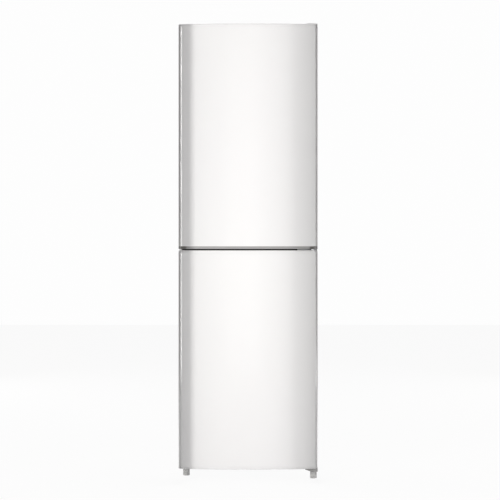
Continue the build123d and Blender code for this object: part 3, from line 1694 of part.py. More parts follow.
# ------------------------------------------------------------------ front feet
for name, (x, y), stem_high in (
    ("foot_left", left_foot, sleeve_high - stem_end_gap),
    ("foot_right", (hinge_x, hinge_y), bottom_plate_low),
):
    with BuildPart() as foot:
        with BuildSketch(Plane.XY):
            with Locations((x, y)):
                RegularPolygon(foot_radius, foot_sides)
        extrude(amount=foot_height)
        foot_rims = foot.edges().group_by(Axis.Z)
        chamfer(foot_rims[0] + foot_rims[-1], foot_edge)
        rod(stem_radius, (x, y, foot_height), (x, y, stem_high))
    save(foot, name)
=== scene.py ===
from math import asin, cos, pi, radians, sin

import bmesh
import bpy
from mathutils import Matrix, Vector


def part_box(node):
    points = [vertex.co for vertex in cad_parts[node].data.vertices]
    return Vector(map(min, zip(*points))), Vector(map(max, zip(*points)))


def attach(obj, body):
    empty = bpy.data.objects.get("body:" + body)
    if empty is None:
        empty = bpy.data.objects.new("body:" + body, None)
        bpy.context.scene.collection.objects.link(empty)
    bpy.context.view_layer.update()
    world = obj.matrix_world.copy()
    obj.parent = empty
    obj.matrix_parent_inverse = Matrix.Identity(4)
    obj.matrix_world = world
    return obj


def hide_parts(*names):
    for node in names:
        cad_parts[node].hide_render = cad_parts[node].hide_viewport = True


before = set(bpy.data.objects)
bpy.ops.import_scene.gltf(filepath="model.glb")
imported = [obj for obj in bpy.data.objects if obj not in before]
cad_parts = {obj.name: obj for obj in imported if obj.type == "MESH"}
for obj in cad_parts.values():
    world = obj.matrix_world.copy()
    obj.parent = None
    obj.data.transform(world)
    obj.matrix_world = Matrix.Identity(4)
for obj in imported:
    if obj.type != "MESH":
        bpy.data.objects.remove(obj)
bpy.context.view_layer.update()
scene = bpy.context.scene
scene.view_settings.view_transform = "Standard"

# ---------------------------------------------------------------- studio
# The room the refrigerator stands in: a pale floor, a white surround and a camera level with
# the gap between the doors, 4.5 m in front of them.
photo_eye = bpy.data.cameras.new("photo_eye")
photo_eye.sensor_width = 36.0
photo_eye.lens = 82.2
camera = bpy.data.objects.new("photo_camera", photo_eye)
camera.location = (0.0075, -4.793, 0.904)
camera.rotation_euler = (pi / 2, 0.0, 0.0)
scene.collection.objects.link(camera)
scene.camera = camera


# Where the camera, a mirror or a glass looks past the object it sees plain white; the light
# that falls on the object from there is weaker.
def seen_directly(nodes, links):
    """Gives 1 where the camera, a mirror or a glass looks at what the nodes colour, else 0."""
    path = nodes.new("ShaderNodeLightPath")
    seen = path.outputs["Is Camera Ray"]
    for ray in ("Is Glossy Ray", "Is Transmission Ray"):
        either = nodes.new("ShaderNodeMath")
        either.operation = "MAXIMUM"
        links.new(seen, either.inputs[0])
        links.new(path.outputs[ray], either.inputs[1])
        seen = either.outputs[0]
    return seen


surround = bpy.data.worlds.new("white_surround")
surround.use_nodes = True
scene.world = surround
nodes, links = surround.node_tree.nodes, surround.node_tree.links
nodes.clear()
seen_white = nodes.new("ShaderNodeBackground")
seen_white.inputs["Color"].default_value = (1.0, 1.0, 1.0, 1.0)
seen_white.inputs["Strength"].default_value = 0.985
fill_light = nodes.new("ShaderNodeBackground")
fill_light.inputs["Color"].default_value = (1.0, 0.965, 0.975, 1.0)
fill_light.inputs["Strength"].default_value = 0.34
chosen = nodes.new("ShaderNodeMixShader")
ends = nodes.new("ShaderNodeOutputWorld")
links.new(seen_directly(nodes, links), chosen.inputs["Fac"])
links.new(fill_light.outputs[0], chosen.inputs[1])
links.new(seen_white.outputs[0], chosen.inputs[2])
links.new(chosen.outputs[0], ends.inputs["Surface"])


def place(name, shape, material):
    """Turns a shape into an object of the scene, in the given material."""
    mesh = bpy.data.meshes.new(name)
    shape.to_mesh(mesh)
    shape.free()
    mesh.materials.append(material)
    placed = bpy.data.objects.new(name, mesh)
    scene.collection.objects.link(placed)
    return placed


pale_floor = bpy.data.materials.new("pale_floor")
pale_floor.use_nodes = True
nodes, links = pale_floor.node_tree.nodes, pale_floor.node_tree.links
nodes.clear()
share = nodes.new("ShaderNodeMath")
share.operation = "MULTIPLY"
share.inputs[1].default_value = 0.93
lit = nodes.new("ShaderNodeBsdfDiffuse")
lit.inputs["Color"].default_value = (0.9, 0.9, 0.9, 1.0)
white = nodes.new("ShaderNodeEmission")
white.inputs["Strength"].default_value = 1.0
blend = nodes.new("ShaderNodeMixShader")
ends = nodes.new("ShaderNodeOutputMaterial")
links.new(seen_directly(nodes, links), share.inputs[0])
links.new(share.outputs[0], blend.inputs["Fac"])
links.new(lit.outputs[0], blend.inputs[1])
links.new(white.outputs[0], blend.inputs[2])
links.new(blend.outputs[0], ends.inputs["Surface"])
floor_shape = bmesh.new()
bmesh.ops.create_grid(floor_shape, x_segments=1, y_segments=1, size=9.0)
floor = place("studio_floor", floor_shape, pale_floor)


# Soft boxes: a tall one at the left front, two tall ones round the camera, one at the right,
# one overhead and two behind, all out of the camera's sight.
def soft_box(name, place, aim, width, height, power, tint=(1.0, 1.0, 1.0)):
    """An oblong soft light that faces the given point."""
    lamp = bpy.data.lights.new(name, "AREA")
    lamp.shape = "RECTANGLE"
    lamp.size, lamp.size_y = width, height
    lamp.energy = power
    lamp.color = tint
    box = bpy.data.objects.new(name, lamp)
    box.location = place
    box.rotation_euler = (Vector(aim) - Vector(place)).to_track_quat("-Z", "Y").to_euler()
    box.visible_camera = False
    scene.collection.objects.link(box)
    return box


soft_box(
    "left_box", (-1.925, -3.16, 1.28), (-0.275, -0.3, 1.1), 0.7, 2.56, 50.0, (1.0, 0.99, 0.98)
)
front_box = soft_box("front_box", (-0.25, -4.2, 0.8), (0.0, -0.3, 0.85), 1.3, 2.6, 27.0)
front_box.visible_glossy = False
soft_box("front_panel", (-0.13, -4.3, 1.0), (-0.13, -0.3, 1.0), 0.86, 3.4, 1.6)
soft_box(
    "right_box", (2.9, -1.75, 0.93), (0.275, -0.3, 0.93), 1.5, 1.86, 36.0, (1.0, 0.985, 0.985)
)
soft_box("top_box", (0.0, 0.0, 3.6), (0.0, 0.0, 0.9), 2.0, 1.6, 14.0)
soft_box("back_left_box", (-2.4, 2.6, 1.5), (0.0, 0.2, 0.9), 1.4, 2.2, 30.0)
soft_box("back_right_box", (2.4, 2.6, 1.5), (0.0, 0.2, 0.9), 1.4, 2.2, 24.0)


# Black cards stand at both edges of the doors, out of the camera's sight, as a photographer
# sets them to part a white object from a white ground.
card_black = bpy.data.materials.new("card_black")
card_black.use_nodes = True
card_shader = card_black.node_tree.nodes["Principled BSDF"]
card_shader.inputs["Base Color"].default_value = (0.02, 0.02, 0.02, 1.0)
card_shader.inputs["Specular IOR Level"].default_value = 0.0
card_x, card_z, card_step = 0.277, (0.0, 1.83), 0.62


def black_card(name, x, ends_y, z, lights=True, mirrors=True):
    """A thin upright card, given by its y ends at the foot and at the top, unseen by the camera."""
    shape = bmesh.new()
    foot, top = ends_y
    corners = ((foot[0], z[0]), (foot[1], z[0]), (top[1], z[1]), (top[0], z[1]))
    shape.faces.new([shape.verts.new((x, y, height)) for y, height in corners])
    card = place(name, shape, card_black)
    card.visible_camera = False
    card.visible_diffuse = lights
    card.visible_shadow = lights
    card.visible_glossy = mirrors


full = (-0.398, -0.296)
black_card("left_card", -0.2775, (full, full), card_z, mirrors=False)
full, lip = (-0.374, -0.296), (-0.374, -0.2944)
black_card("right_card", card_x, (full, full), card_z, mirrors=False)
black_card("right_lip_card", 0.2672, (lip, lip), card_z, mirrors=False)
faded, full = (-0.27, -0.2), (-0.302, -0.2)
for side in (-1, 1):
    name = "left_rim_card" if side < 0 else "right_rim_card"
    x = side * card_x
    black_card(f"{name}_low", x, (faded, full), (card_z[0], card_step), lights=False)
    black_card(f"{name}_high", x, (full, full), (card_step, card_z[1]), lights=False)

# ---------------------------------------------------------------- cabinet
# The wrapper of 0.8 mm sheet steel, painted satin white before it is bent: two sides and the
# top in one length, with the front frame that the door gaskets close on.


def fit(name, shape, material, body, *stands_for, slot=None, sharp=35.0):
    """Makes a piece from a shape drawn in millimetres and hangs it on the body it moves with."""
    bmesh.ops.scale(shape, vec=(0.001, 0.001, 0.001), verts=shape.verts)
    piece = place(name, shape, material)
    mesh = piece.data
    mesh.polygons.foreach_set("use_smooth", [True] * len(mesh.polygons))
    mesh.set_sharp_from_angle(angle=radians(sharp))
    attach(piece, body)
    if stands_for:
        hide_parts(*stands_for)
    return piece


def pour(part, shape):
    """Adds one shape to another."""
    carried = bpy.data.meshes.new("carried")
    part.to_mesh(carried)
    part.free()
    shape.from_mesh(carried)
    bpy.data.meshes.remove(carried)


def add_block(shape, x, y, z, radius=0.0, steps=2):
    """Adds a block between the two ends given along each axis, with rounded edges."""
    part = bmesh.new()
    bmesh.ops.create_cube(part, size=1.0)
    bmesh.ops.scale(part, vec=(x[1] - x[0], y[1] - y[0], z[1] - z[0]), verts=part.verts)
    middle = (sum(x) / 2, sum(y) / 2, sum(z) / 2)
    bmesh.ops.translate(part, vec=middle, verts=part.verts)
    if radius:
        round_edges(part, part.edges, radius, steps)
    pour(part, shape)


def add_pair(shape, near, far, y, z, radius):
    """Adds a rounded block at each side of the middle, between two distances from it."""
    for side in (-1, 1):
        add_block(shape, sorted((side * near, side * far)), y, z, radius)


def round_edges(shape, edges, radius, steps=3):
    """Rounds the given edges."""
    bmesh.ops.bevel(
        shape,
        geom=list(edges),
        offset=radius,
        segments=steps,
        profile=0.5,
        affect="EDGES",
        material=-1,
    )


along_y, along_z = 1, 2


def creases(shape, angle, axis=None, level=0.0):
    """The edges bent by more than an angle, of the whole shape or at one level of an axis."""
    return [
        edge
        for edge in shape.edges
        if len(edge.link_faces) == 2
        and (axis is None or all(abs(vert.co[axis] - level) < 0.01 for vert in edge.verts))
        and edge.calc_face_angle() > angle
    ]


def pull(shape, faces, move):
    """Pulls faces out of a shape."""
    made = bmesh.ops.extrude_face_region(shape, geom=list(faces))
    verts = [part for part in made["geom"] if isinstance(part, bmesh.types.BMVert)]
    bmesh.ops.translate(shape, vec=move, verts=verts)


def grow(shape, faces, move):
    """Pulls faces out of a shape and leaves no wall behind them."""
    pull(shape, faces, move)
    bmesh.ops.delete(shape, geom=[face for face in faces if face.is_valid], context="FACES_ONLY")


def thicken(shape, move):
    """Pulls a flat shape out into a closed solid."""
    pull(shape, shape.faces, move)
    bmesh.ops.recalc_face_normals(shape, faces=shape.faces)


def score(shape, chosen, x=(), y=(), z=()):
    """Cuts lines across the chosen faces at the given places along each axis."""
    for axis, places in enumerate((x, y, z)):
        for place in places:
            faces = [face for face in shape.faces if chosen(face)]
            parts = set(faces)
            for face in faces:
                parts.update(face.edges)
                parts.update(face.verts)
            point, normal = [0.0, 0.0, 0.0], [0.0, 0.0, 0.0]
            point[axis], normal[axis] = place, 1.0
            bmesh.ops.bisect_plane(
                shape, geom=list(parts), dist=1e-4, plane_co=point, plane_no=normal
            )


def add_turned(shape, profile, at, way, steps=24):
    """Adds a round part: its profile, given as radius and height, turned about the given way."""
    part = bmesh.new()
    verts = [part.verts.new((radius, 0.0, height)) for radius, height in profile]
    edges = [part.edges.new(pair) for pair in zip(verts, verts[1:])]
    bmesh.ops.spin(
        part,
        geom=verts + edges,
        cent=(0.0, 0.0, 0.0),
        axis=(0.0, 0.0, 1.0),
        angle=2 * pi,
        steps=steps,
        use_merge=True,
    )
    bmesh.ops.remove_doubles(part, verts=part.verts, dist=0.0005)
    bmesh.ops.recalc_face_normals(part, faces=part.faces)
    turn = Vector((0.0, 0.0, 1.0)).rotation_difference(Vector(way)).to_matrix().to_4x4()
    bmesh.ops.transform(part, matrix=Matrix.Translation(at) @ turn, verts=part.verts)
    pour(part, shape)


def within(face, x=None, y=None, z=None):
    """Tells whether a face's middle lies inside the given stretches."""
    middle = face.calc_center_median()
    return all(
        limits is None or limits[0] < value < limits[1] for value, limits in zip(middle, (x, y, z))
    )


def finish(
    name,
    colour,
    second,
    gloss,
    grain,
    depth,
    patches=5.0,
    stretch=(1.0, 1.0, 1.0),
    cells=False,
    **sockets,
):
    """A surface that drifts between two colours, with a fine grain in its relief and gloss."""
    made = bpy.data.materials.new(name)
    made.use_nodes = True
    nodes, links = made.node_tree.nodes, made.node_tree.links
    shader = nodes["Principled BSDF"]
    for socket, value in sockets.items():
        shader.inputs[socket.replace("_", " ")].default_value = value
    place = nodes.new("ShaderNodeTexCoord")
    turned = nodes.new("ShaderNodeMapping")
    turned.inputs["Scale"].default_value = stretch
    links.new(place.outputs["Object"], turned.inputs["Vector"])
    broad = nodes.new("ShaderNodeTexNoise")
    broad.inputs["Scale"].default_value = patches
    broad.inputs["Detail"].default_value = 3.0
    links.new(turned.outputs["Vector"], broad.inputs["Vector"])
    if cells:
        fine = nodes.new("ShaderNodeTexVoronoi")
        fine.inputs["Scale"].default_value = grain
        relief, tone = fine.outputs["Distance"], fine.outputs["Color"]
    else:
        fine = nodes.new("ShaderNodeTexNoise")
        fine.inputs["Scale"].default_value = grain
        fine.inputs["Detail"].default_value = 4.0
        relief, tone = fine.outputs[0], broad.outputs[0]
    links.new(turned.outputs["Vector"], fine.inputs["Vector"])
    mixed = nodes.new("ShaderNodeMix")
    mixed.data_type = "RGBA"
    mixed.inputs["A"].default_value = (*colour, 1.0)
    mixed.inputs["B"].default_value = (*second, 1.0)
    spread = nodes.new("ShaderNodeMapRange")
    spread.inputs["From Min"].default_value = 0.35
    spread.inputs["From Max"].default_value = 0.65
    links.new(tone, spread.inputs["Value"])
    links.new(spread.outputs["Result"], mixed.inputs["Factor"])
    links.new(mixed.outputs["Result"], shader.inputs["Base Color"])
    dulled = nodes.new("ShaderNodeMapRange")
    dulled.inputs["From Min"].default_value = 0.3
    dulled.inputs["From Max"].default_value = 0.7
    dulled.inputs["To Min"].default_value = gloss[0]
    dulled.inputs["To Max"].default_value = gloss[1]
    links.new(tone if cells else relief, dulled.inputs["Value"])
    links.new(dulled.outputs["Result"], shader.inputs["Roughness"])
    bump = nodes.new("ShaderNodeBump")
    bump.inputs["Distance"].default_value = depth
    bump.inputs["Strength"].default_value = 1.0
    links.new(relief, bump.inputs["Height"])
    links.new(bump.outputs["Normal"], shader.inputs["Normal"])
    return made


def dress(node, material):
    """Gives a node of the frame its finish."""
    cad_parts[node].data.materials.clear()
    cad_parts[node].data.materials.append(material)


def span(node):
    """The two ends of a node of the frame along each axis, in millimetres."""
    low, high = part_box(node)
    return tuple((1000 * a, 1000 * b) for a, b in zip(low, high))


side_x, side_y, side_z = span("cabinet_shell")
sheet = 0.8
fold_radius = 2.4
window_x = 251.0
freezer_window, fridge_window = (64.0, 881.25), (929.25, 1771.0)
cabinet_paint = finish(
    "cabinet_paint",
    (0.86, 0.86, 0.85),
    (0.84, 0.84, 0.835),
    gloss=(0.30, 0.38),
    grain=900.0,
    depth=0.00003,
    IOR=1.5,
    Coat_Weight=0.25,
    Coat_Roughness=0.2,
)
wrapper = bmesh.new()
add_block(wrapper, side_x, side_y, side_z)
top_folds = [
    edge
    for edge in wrapper.edges
    if all(vert.co.z > side_z[1] - 1 for vert in edge.verts)
    and edge.verts[0].co.x == edge.verts[1].co.x
]
front_folds = [
    edge
    for edge in wrapper.edges
    if all(vert.co.y < side_y[0] + 1 for vert in edge.verts)
    and edge.verts[0].co.x == edge.verts[1].co.x
]
round_edges(wrapper, top_folds + front_folds, fold_radius)
open_faces = [face for face in wrapper.faces if face.normal.y > 0.9 or face.normal.z < -0.9]
bmesh.ops.delete(wrapper, geom=open_faces, context="FACES_ONLY")
score(
    wrapper,
    lambda face: face.normal.y < -0.9,
    x=(-window_x, window_x),
    z=(*freezer_window, *fridge_window),
)
panes = [
    face
    for face in wrapper.faces
    if face.normal.y < -0.9
    and (
        within(face, x=(-window_x, window_x), z=freezer_window)
        or within(face, x=(-window_x, window_x), z=fridge_window)
    )
]
bmesh.ops.delete(wrapper, geom=panes, context="FACES_ONLY")
bmesh.ops.solidify(wrapper, geom=wrapper.faces[:], thickness=sheet)
fit("cabinet_wrapper", wrapper, cabinet_paint, "cabinet", "cabinet_shell", slot="cabinet_paint")

# A black moulded strip snapped on the crossbar, painted shade: a dark piece that stands in for the
# shade in the gap between the doors. It also covers the spare screw holes of the middle hinge at
# the left.
gap_shade_black = finish(
    "gap_shade_black",
    (0.012, 0.012, 0.013),
    (0.018, 0.018, 0.018),
    gloss=(0.5, 0.65),
    grain=1200.0,
    depth=0.00005,
    patches=16.0,
)
strip_x, strip_z = (-264.0, 197.0), (892.5, 918.0)
strip_y = (side_y[0] - 2.2, side_y[0] - 0.05)
plug_x, plug_z = (-237.0, -211.0), 905.25
gap_shade_strip = bmesh.new()
add_block(gap_shade_strip, strip_x, strip_y, strip_z, 0.8, 3)
for x in plug_x:
    add_turned(
        gap_shade_strip,
        [(0.0, 0.0), (5.0, 0.0), (4.6, 0.5), (0.0, 0.8)],
        (x, side_y[0] - 2.1, plug_z),
        (0, -1, 0),
        20,
    )
fit("gap_shade_strip", gap_shade_strip, gap_shade_black, "cabinet", slot="black_plastic")

# The galvanised back sheet with its four upright stiffening grooves, the base pan and the
# carrier plate under the compressor, all of the same zinc-coated steel.
galvanised = finish(
    "galvanised_sheet",
    (0.60, 0.615, 0.63),
    (0.70, 0.71, 0.72),
    gloss=(0.30, 0.48),
    grain=140.0,
    depth=0.00002,
    cells=True,
    Metallic=1.0,
)
for node in ("back_panel", "base_pan", "compressor_carrier"):
    dress(node, galvanised)

# Pan-head screws that fasten the back sheet to the wrapper's folds all round.
screw_zinc = finish(
    "screw_zinc",
    (0.62, 0.62, 0.61),
    (0.52, 0.52, 0.52),
    gloss=(0.24, 0.4),
    grain=600.0,
    depth=0.00003,
    patches=80.0,
    Metallic=1.0,
)


def add_cross_screw(shape, at, way, radius=4.2, rise=2.2):
    """Adds a pan-head screw with a cross recess."""
    add_turned(
        shape,
        [(0.0, rise - 0.9), (0.7, rise - 0.9), (1.0, rise)]
        + [(radius * 0.55, rise - 0.15), (radius * 0.9, rise * 0.55), (radius, 0.0)],
        at,
        way,
        16,
    )
    turn = Vector((0.0, 0.0, 1.0)).rotation_difference(Vector(way)).to_matrix().to_4x4()
    for angle in (45.0, 135.0):
        slot_bar = bmesh.new()
        bmesh.ops.create_cube(slot_bar, size=1.0)
        bmesh.ops.scale(slot_bar, vec=(radius, 0.55, 0.2), verts=slot_bar.verts)
        bmesh.ops.translate(slot_bar, vec=(0.0, 0.0, rise - 0.1), verts=slot_bar.verts)
        place = Matrix.Translation(at) @ turn @ Matrix.Rotation(radians(angle), 4, "Z")
        bmesh.ops.transform(slot_bar, matrix=place, verts=slot_bar.verts)
        pour(slot_bar, shape)


back_x, back_y, back_z = span("back_panel")
back_screws = bmesh.new()
for side in (-1, 1):
    for part_way in (0.04, 0.28, 0.52, 0.76, 0.97):
        height = back_z[0] + part_way * (back_z[1] - back_z[0])
        add_cross_screw(back_screws, (side * (back_x[1] - 9.0), back_y[1], height), (0, 1, 0))
for x in (-150.0, 0.0, 150.0):
    add_cross_screw(back_screws, (x, back_y[1], back_z[1] - 9.0), (0, 1, 0))
    add_cross_screw(back_screws, (x, back_y[1], back_z[0] + 9.0), (0, 1, 0))
fit("back_screws", back_screws, screw_zinc, "cabinet", slot="hinge_steel")

# ---------------------------------------------------------------- linings and foam
# Each compartment is one vacuum-formed sheet of glossy white polystyrene with rounded corners,
# ribs pressed in its sides and a rolled edge that hooks behind the front frame.
lining_white = finish(
    "lining_white",
    (0.88, 0.89, 0.89),
    (0.86, 0.875, 0.88),
    gloss=(0.16, 0.24),
    grain=320.0,
    depth=0.00004,
    IOR=1.55,
    Coat_Weight=0.3,
    Coat_Roughness=0.08,
)
lining_sheet = 2.0


def draw_lining(side_view, half, window, radius):
    """Draws a lining from its side view, with a rolled mouth and a flange up to the frame."""
    part = bmesh.new()
    part.faces.new([part.verts.new((-half, y, z)) for y, z in side_view])
    thicken(part, (2 * half, 0.0, 0.0))
    mouth = [face for face in part.faces if face.normal.y < -0.9]
    bmesh.ops.delete(part, geom=mouth, context="FACES_ONLY")
    round_edges(part, [edge for edge in part.edges if not edge.is_boundary], radius, 5)
    rim = [edge for edge in part.edges if edge.is_boundary]
    low, high = side_view[0][1], side_view[-1][1]
    made = bmesh.ops.extrude_edge_only(part, edges=rim)
    outer = [piece for piece in made["geom"] if isinstance(piece, bmesh.types.BMVert)]
    for vert in outer:
        vert.co.x *= window_x / half
        share = (vert.co.z - low) / (high - low)
        vert.co.z = window[0] + share * (window[1] - window[0])
    round_edges(part, creases(part, 1.0, along_y, side_view[0][0]), 4.0, 3)
    bmesh.ops.reverse_faces(part, faces=part.faces)
    return part


liner_front = -230.0
throat_x, throat_y = (-45.0, 45.0), (197.0, 221.0)


def open_throat(part, level):
    """Cuts the air duct's opening in a lining's floor or ceiling."""

    def flat(face):
        return all(abs(vert.co.z - level) < 0.01 for vert in face.verts)

    score(part, flat, x=throat_x, y=throat_y)
    hole = [face for face in part.faces if flat(face) and within(face, x=throat_x, y=throat_y)]
    bmesh.ops.delete(part, geom=hole, context="FACES")


fridge_half, fridge_floor, fridge_ceiling, room_back = 228.0, 957.25, 1743.0, 223.0
fridge_side = [
    (liner_front, fridge_floor),
    (room_back, fridge_floor),
    (room_back, fridge_ceiling),
    (liner_front, fridge_ceiling),
]
fridge_lining = draw_lining(fridge_side, fridge_half, fridge_window, 13.0)
open_throat(fridge_lining, fridge_floor)
bmesh.ops.solidify(fridge_lining, geom=fridge_lining.faces[:], thickness=lining_sheet)
lowest_shelf, shelf_count = 178.0, 4
shelf_pitch = (fridge_ceiling - fridge_floor - lowest_shelf) / shelf_count
shelf_heights = [fridge_floor + lowest_shelf + i * shelf_pitch for i in range(shelf_count)]
for height in shelf_heights:
    add_pair(fridge_lining, 219.0, 229.0, (-100.0, 169.0), (height - 8.0, height - 0.1), 2.4)
fit("fridge_lining", fridge_lining, lining_white, "cabinet", "fridge_liner", slot="liner_plastic")

freezer_half, freezer_floor, freezer_ceiling = 215.0, 97.0, 853.25
step_front, step_top = 58.0, 264.0
freezer_side = [
    (liner_front, freezer_floor),
    (step_front, freezer_floor),
    (step_front, step_top),
    (room_back, step_top),
    (room_back, freezer_ceiling),
    (liner_front, freezer_ceiling),
]
freezer_lining = draw_lining(freezer_side, freezer_half, freezer_window, 9.0)
open_throat(freezer_lining, freezer_ceiling)
bmesh.ops.solidify(freezer_lining, geom=freezer_lining.faces[:], thickness=lining_sheet)
drawer_zone = (freezer_ceiling - freezer_floor) / 3
drawer_lift, drawer_height, drawer_rim, rail_slack = 8.0, 210.0, 3.0, 0.3
for i, back in enumerate((50.0, 147.0, 147.0)):
    rim_top = freezer_floor + i * drawer_zone + drawer_lift + drawer_height
    rail_top = rim_top - drawer_rim - rail_slack
    add_pair(freezer_lining, 203.0, 216.0, (-202.0, back), (rail_top - 8.0, rail_top), 2.0)
for i in (1, 2):
    rib_top = freezer_floor + i * drawer_zone - 6.0
    rib_z = (rib_top - 6.0, rib_top - 0.1)
    add_pair(freezer_lining, 206.0, 216.0, (-202.0, 133.0), rib_z, 2.0)
fit(
    "freezer_lining", freezer_lining, lining_white, "cabinet", "freezer_liner", slot="liner_plastic"
)

# Polyurethane foam, poured and hidden between sheet and lining, and the moulded block that
# fills the mullion.
foam_yellow = finish(
    "foam_yellow",
    (0.86, 0.76, 0.50),
    (0.80, 0.69, 0.43),
    gloss=(0.85, 0.95),
    grain=260.0,
    depth=0.0004,
    patches=14.0,
    cells=True,
)
dress("cabinet_foam", foam_yellow)

# ---------------------------------------------------------------- compressor bay
# The welded steel can of the compressor, dipped in satin black paint, on four rubber grommets,
# with the condenser that is painted in the same bath.
black_paint = finish(
    "black_paint",
    (0.022, 0.022, 0.024),
    (0.032, 0.032, 0.034),
    gloss=(0.26, 0.42),
    grain=700.0,
    depth=0.00008,
    patches=9.0,
    IOR=1.5,
    Coat_Weight=0.35,
    Coat_Roughness=0.18,
)
for node in ("compressor", "condenser"):
    dress(node, black_paint)

grommet_rubber = finish(
    "grommet_rubber",
    (0.035, 0.035, 0.036),
    (0.055, 0.054, 0.052),
    gloss=(0.6, 0.8),
    grain=900.0,
    depth=0.0001,
    patches=40.0,
)
dress("compressor_grommets", grommet_rubber)

# Drawn copper tube: discharge, suction and the filter drier with its brazed ends.
copper_tube = finish(
    "copper_tube",
    (0.72, 0.39, 0.24),
    (0.52, 0.27, 0.17),
    gloss=(0.22, 0.42),
    grain=420.0,
    depth=0.00004,
    patches=28.0,
    Metallic=1.0,
)
dress("refrigerant_lines", copper_tube)

# The terminal box: a moulded cover over the relay and the overload, held by two screws, with
# the gland for the mains lead.
black_plastic = finish(
    "black_plastic",
    (0.030, 0.030, 0.031),
    (0.042, 0.042, 0.043),
    gloss=(0.45, 0.6),
    grain=1400.0,
    depth=0.00006,
    patches=20.0,
)
box_x, box_y, box_z = span("terminal_box")
cover_x = (box_x[0], box_x[1] - 3.0)
cover_y = (box_y[0], box_y[1] - 18.0)
terminal_cover = bmesh.new()
add_block(terminal_cover, (cover_x[0] + 9.0, cover_x[1]), cover_y, box_z, 4.0, 4)
add_block(
    terminal_cover,
    (cover_x[0], cover_x[0] + 8.4),
    (cover_y[0] + 1.0, cover_y[1] - 1.0),
    (box_z[0] + 1.0, box_z[1] - 1.0),
    3.0,
    4,
)
middle_y, relay_z = sum(cover_y) / 2, 110.0
add_turned(
    terminal_cover,
    [(0.0, 0.0), (6.0, 0.0), (6.0, 5.0), (0.0, 5.0)],
    (cover_x[1] - 2.0, middle_y, relay_z),
    (1, 0, 0),
)
gland_x, gland_z, ring_pitch = box_x[1] - 26.0, 82.0, 4.2
for ring in range(4):
    start, wide, narrow = ring_pitch * ring, 8.0 - 0.6 * ring, 6.4 - 0.5 * ring
    add_turned(
        terminal_cover,
        [(4.0, start), (wide, start), (wide, start + 3.2)]
        + [(narrow, start + 3.6), (narrow, start + 4.4), (4.0, start + 4.4)],
        (gland_x, cover_y[1] - 0.5, gland_z),
        (0, 1, 0),
        20,
    )
fit(
    "terminal_cover", terminal_cover, black_plastic, "cabinet", "terminal_box", slot="black_plastic"
)

# The tray on the compressor where the defrost water dries off, and the wall brackets of the
# condenser, moulded in the same black plastic.


def add_tub(shape, x, y, z, wall, corner, foot, steps=5):
    """Adds an open tub with rounded corners and foot, its wall inside the given ends."""
    part = bmesh.new()
    add_block(part, x, y, z)
    upright = [
        edge for edge in part.edges if abs(edge.verts[0].co.z - edge.verts[1].co.z) > 0.5
    ]
    round_edges(part, upright, corner, steps)
    mouth = [face for face in part.faces if face.normal.z > 0.9]
    bmesh.ops.delete(part, geom=mouth, context="FACES_ONLY")
    low = [edge for edge in part.edges if all(vert.co.z < z[0] + 0.01 for vert in edge.verts)]
    if foot:
        round_edges(part, low, foot, 3)
    bmesh.ops.solidify(part, geom=part.faces[:], thickness=wall)
    pour(part, shape)


tray_x, tray_y, tray_z = span("evaporation_tray")
drip_tray = bmesh.new()
add_tub(drip_tray, tray_x, tray_y, tray_z, 2.0, 10.0, 3.0)
for x in (tray_x[0] + 55.0, tray_x[0] + 125.0):
    add_block(
        drip_tray,
        (x - 1.0, x + 1.0),
        (tray_y[0] + 1.5, tray_y[1] - 1.5),
        (tray_z[0] + 1.5, tray_z[0] + 4.5),
        0.4,
    )
fit("drip_tray", drip_tray, black_plastic, "cabinet", "evaporation_tray", slot="black_plastic")
for node in ("condenser_brackets", "fan_motor"):
    dress(node, black_plastic)

# ---------------------------------------------------------------- freezer cooling
# The evaporator: bare aluminium fins on a tube, with the glass-black defrost heater below it
# and the trough that carries the melt water away.
bare_aluminium = finish(
    "bare_aluminium",
    (0.78, 0.79, 0.80),
    (0.70, 0.71, 0.72),
    gloss=(0.28, 0.42),
    grain=500.0,
    depth=0.00003,
    stretch=(1.0, 1.0, 0.15),
    Metallic=1.0,
)
dress("evaporator", bare_aluminium)
heater_steel = finish(
    "heater_steel",
    (0.42, 0.38, 0.33),
    (0.30, 0.27, 0.30),
    gloss=(0.3, 0.45),
    grain=300.0,
    depth=0.00003,
    patches=22.0,
    Metallic=1.0,
)
dress("defrost_heater", heater_steel)

# White moulded plastic: the cover in front of the evaporator with its air slots, the duct up
# the back of the fridge, the fan's wheel and the trough.
moulded_white = finish(
    "moulded_white",
    (0.86, 0.865, 0.86),
    (0.84, 0.845, 0.845),
    gloss=(0.28, 0.38),
    grain=1100.0,
    depth=0.00004,
    IOR=1.5,
)
for node in ("evaporator_cover", "air_duct", "fan_blade", "drain_trough"):
    dress(node, moulded_white)

# Mid-grey moulded plastic with a fine grain: damper flap, dial, button and bottle retainer.
moulded_grey = finish(
    "moulded_grey",
    (0.40, 0.40, 0.405),
    (0.37, 0.37, 0.375),
    gloss=(0.36, 0.48),
    grain=1500.0,
    depth=0.00006,
)
for node in ("damper_flap", "bottle_retainer"):
    dress(node, moulded_grey)

# ---------------------------------------------------------------- control unit
# The housing under the ceiling carries the lamp, the thermostat with its dial and the fast
# cooling button. It is moulded in white, with raised marks round the dial.
dress("control_housing", moulded_white)
_, housing_y, housing_z = span("control_housing")
dial_x, dial_z, dial_radius = -52.0, housing_z[0] + 20.0, 15.0
dial_marks = bmesh.new()
for mark in range(7):
    angle = radians(225.0 - 45.0 * mark)
    tick = bmesh.new()
    bmesh.ops.create_cube(tick, size=1.0)
    bmesh.ops.scale(tick, vec=(2.2 if mark % 2 else 3.0, 0.3, 0.8), verts=tick.verts)
    bmesh.ops.translate(tick, vec=(dial_radius + 2.6, 0.0, 0.0), verts=tick.verts)
    spot = Matrix.Translation((dial_x, housing_y[0] - 0.12, dial_z))
    bmesh.ops.transform(tick, matrix=spot @ Matrix.Rotation(-angle, 4, "Y"), verts=tick.verts)
    pour(tick, dial_marks)
fit("dial_marks", dial_marks, moulded_grey, "cabinet", slot="grey_plastic")

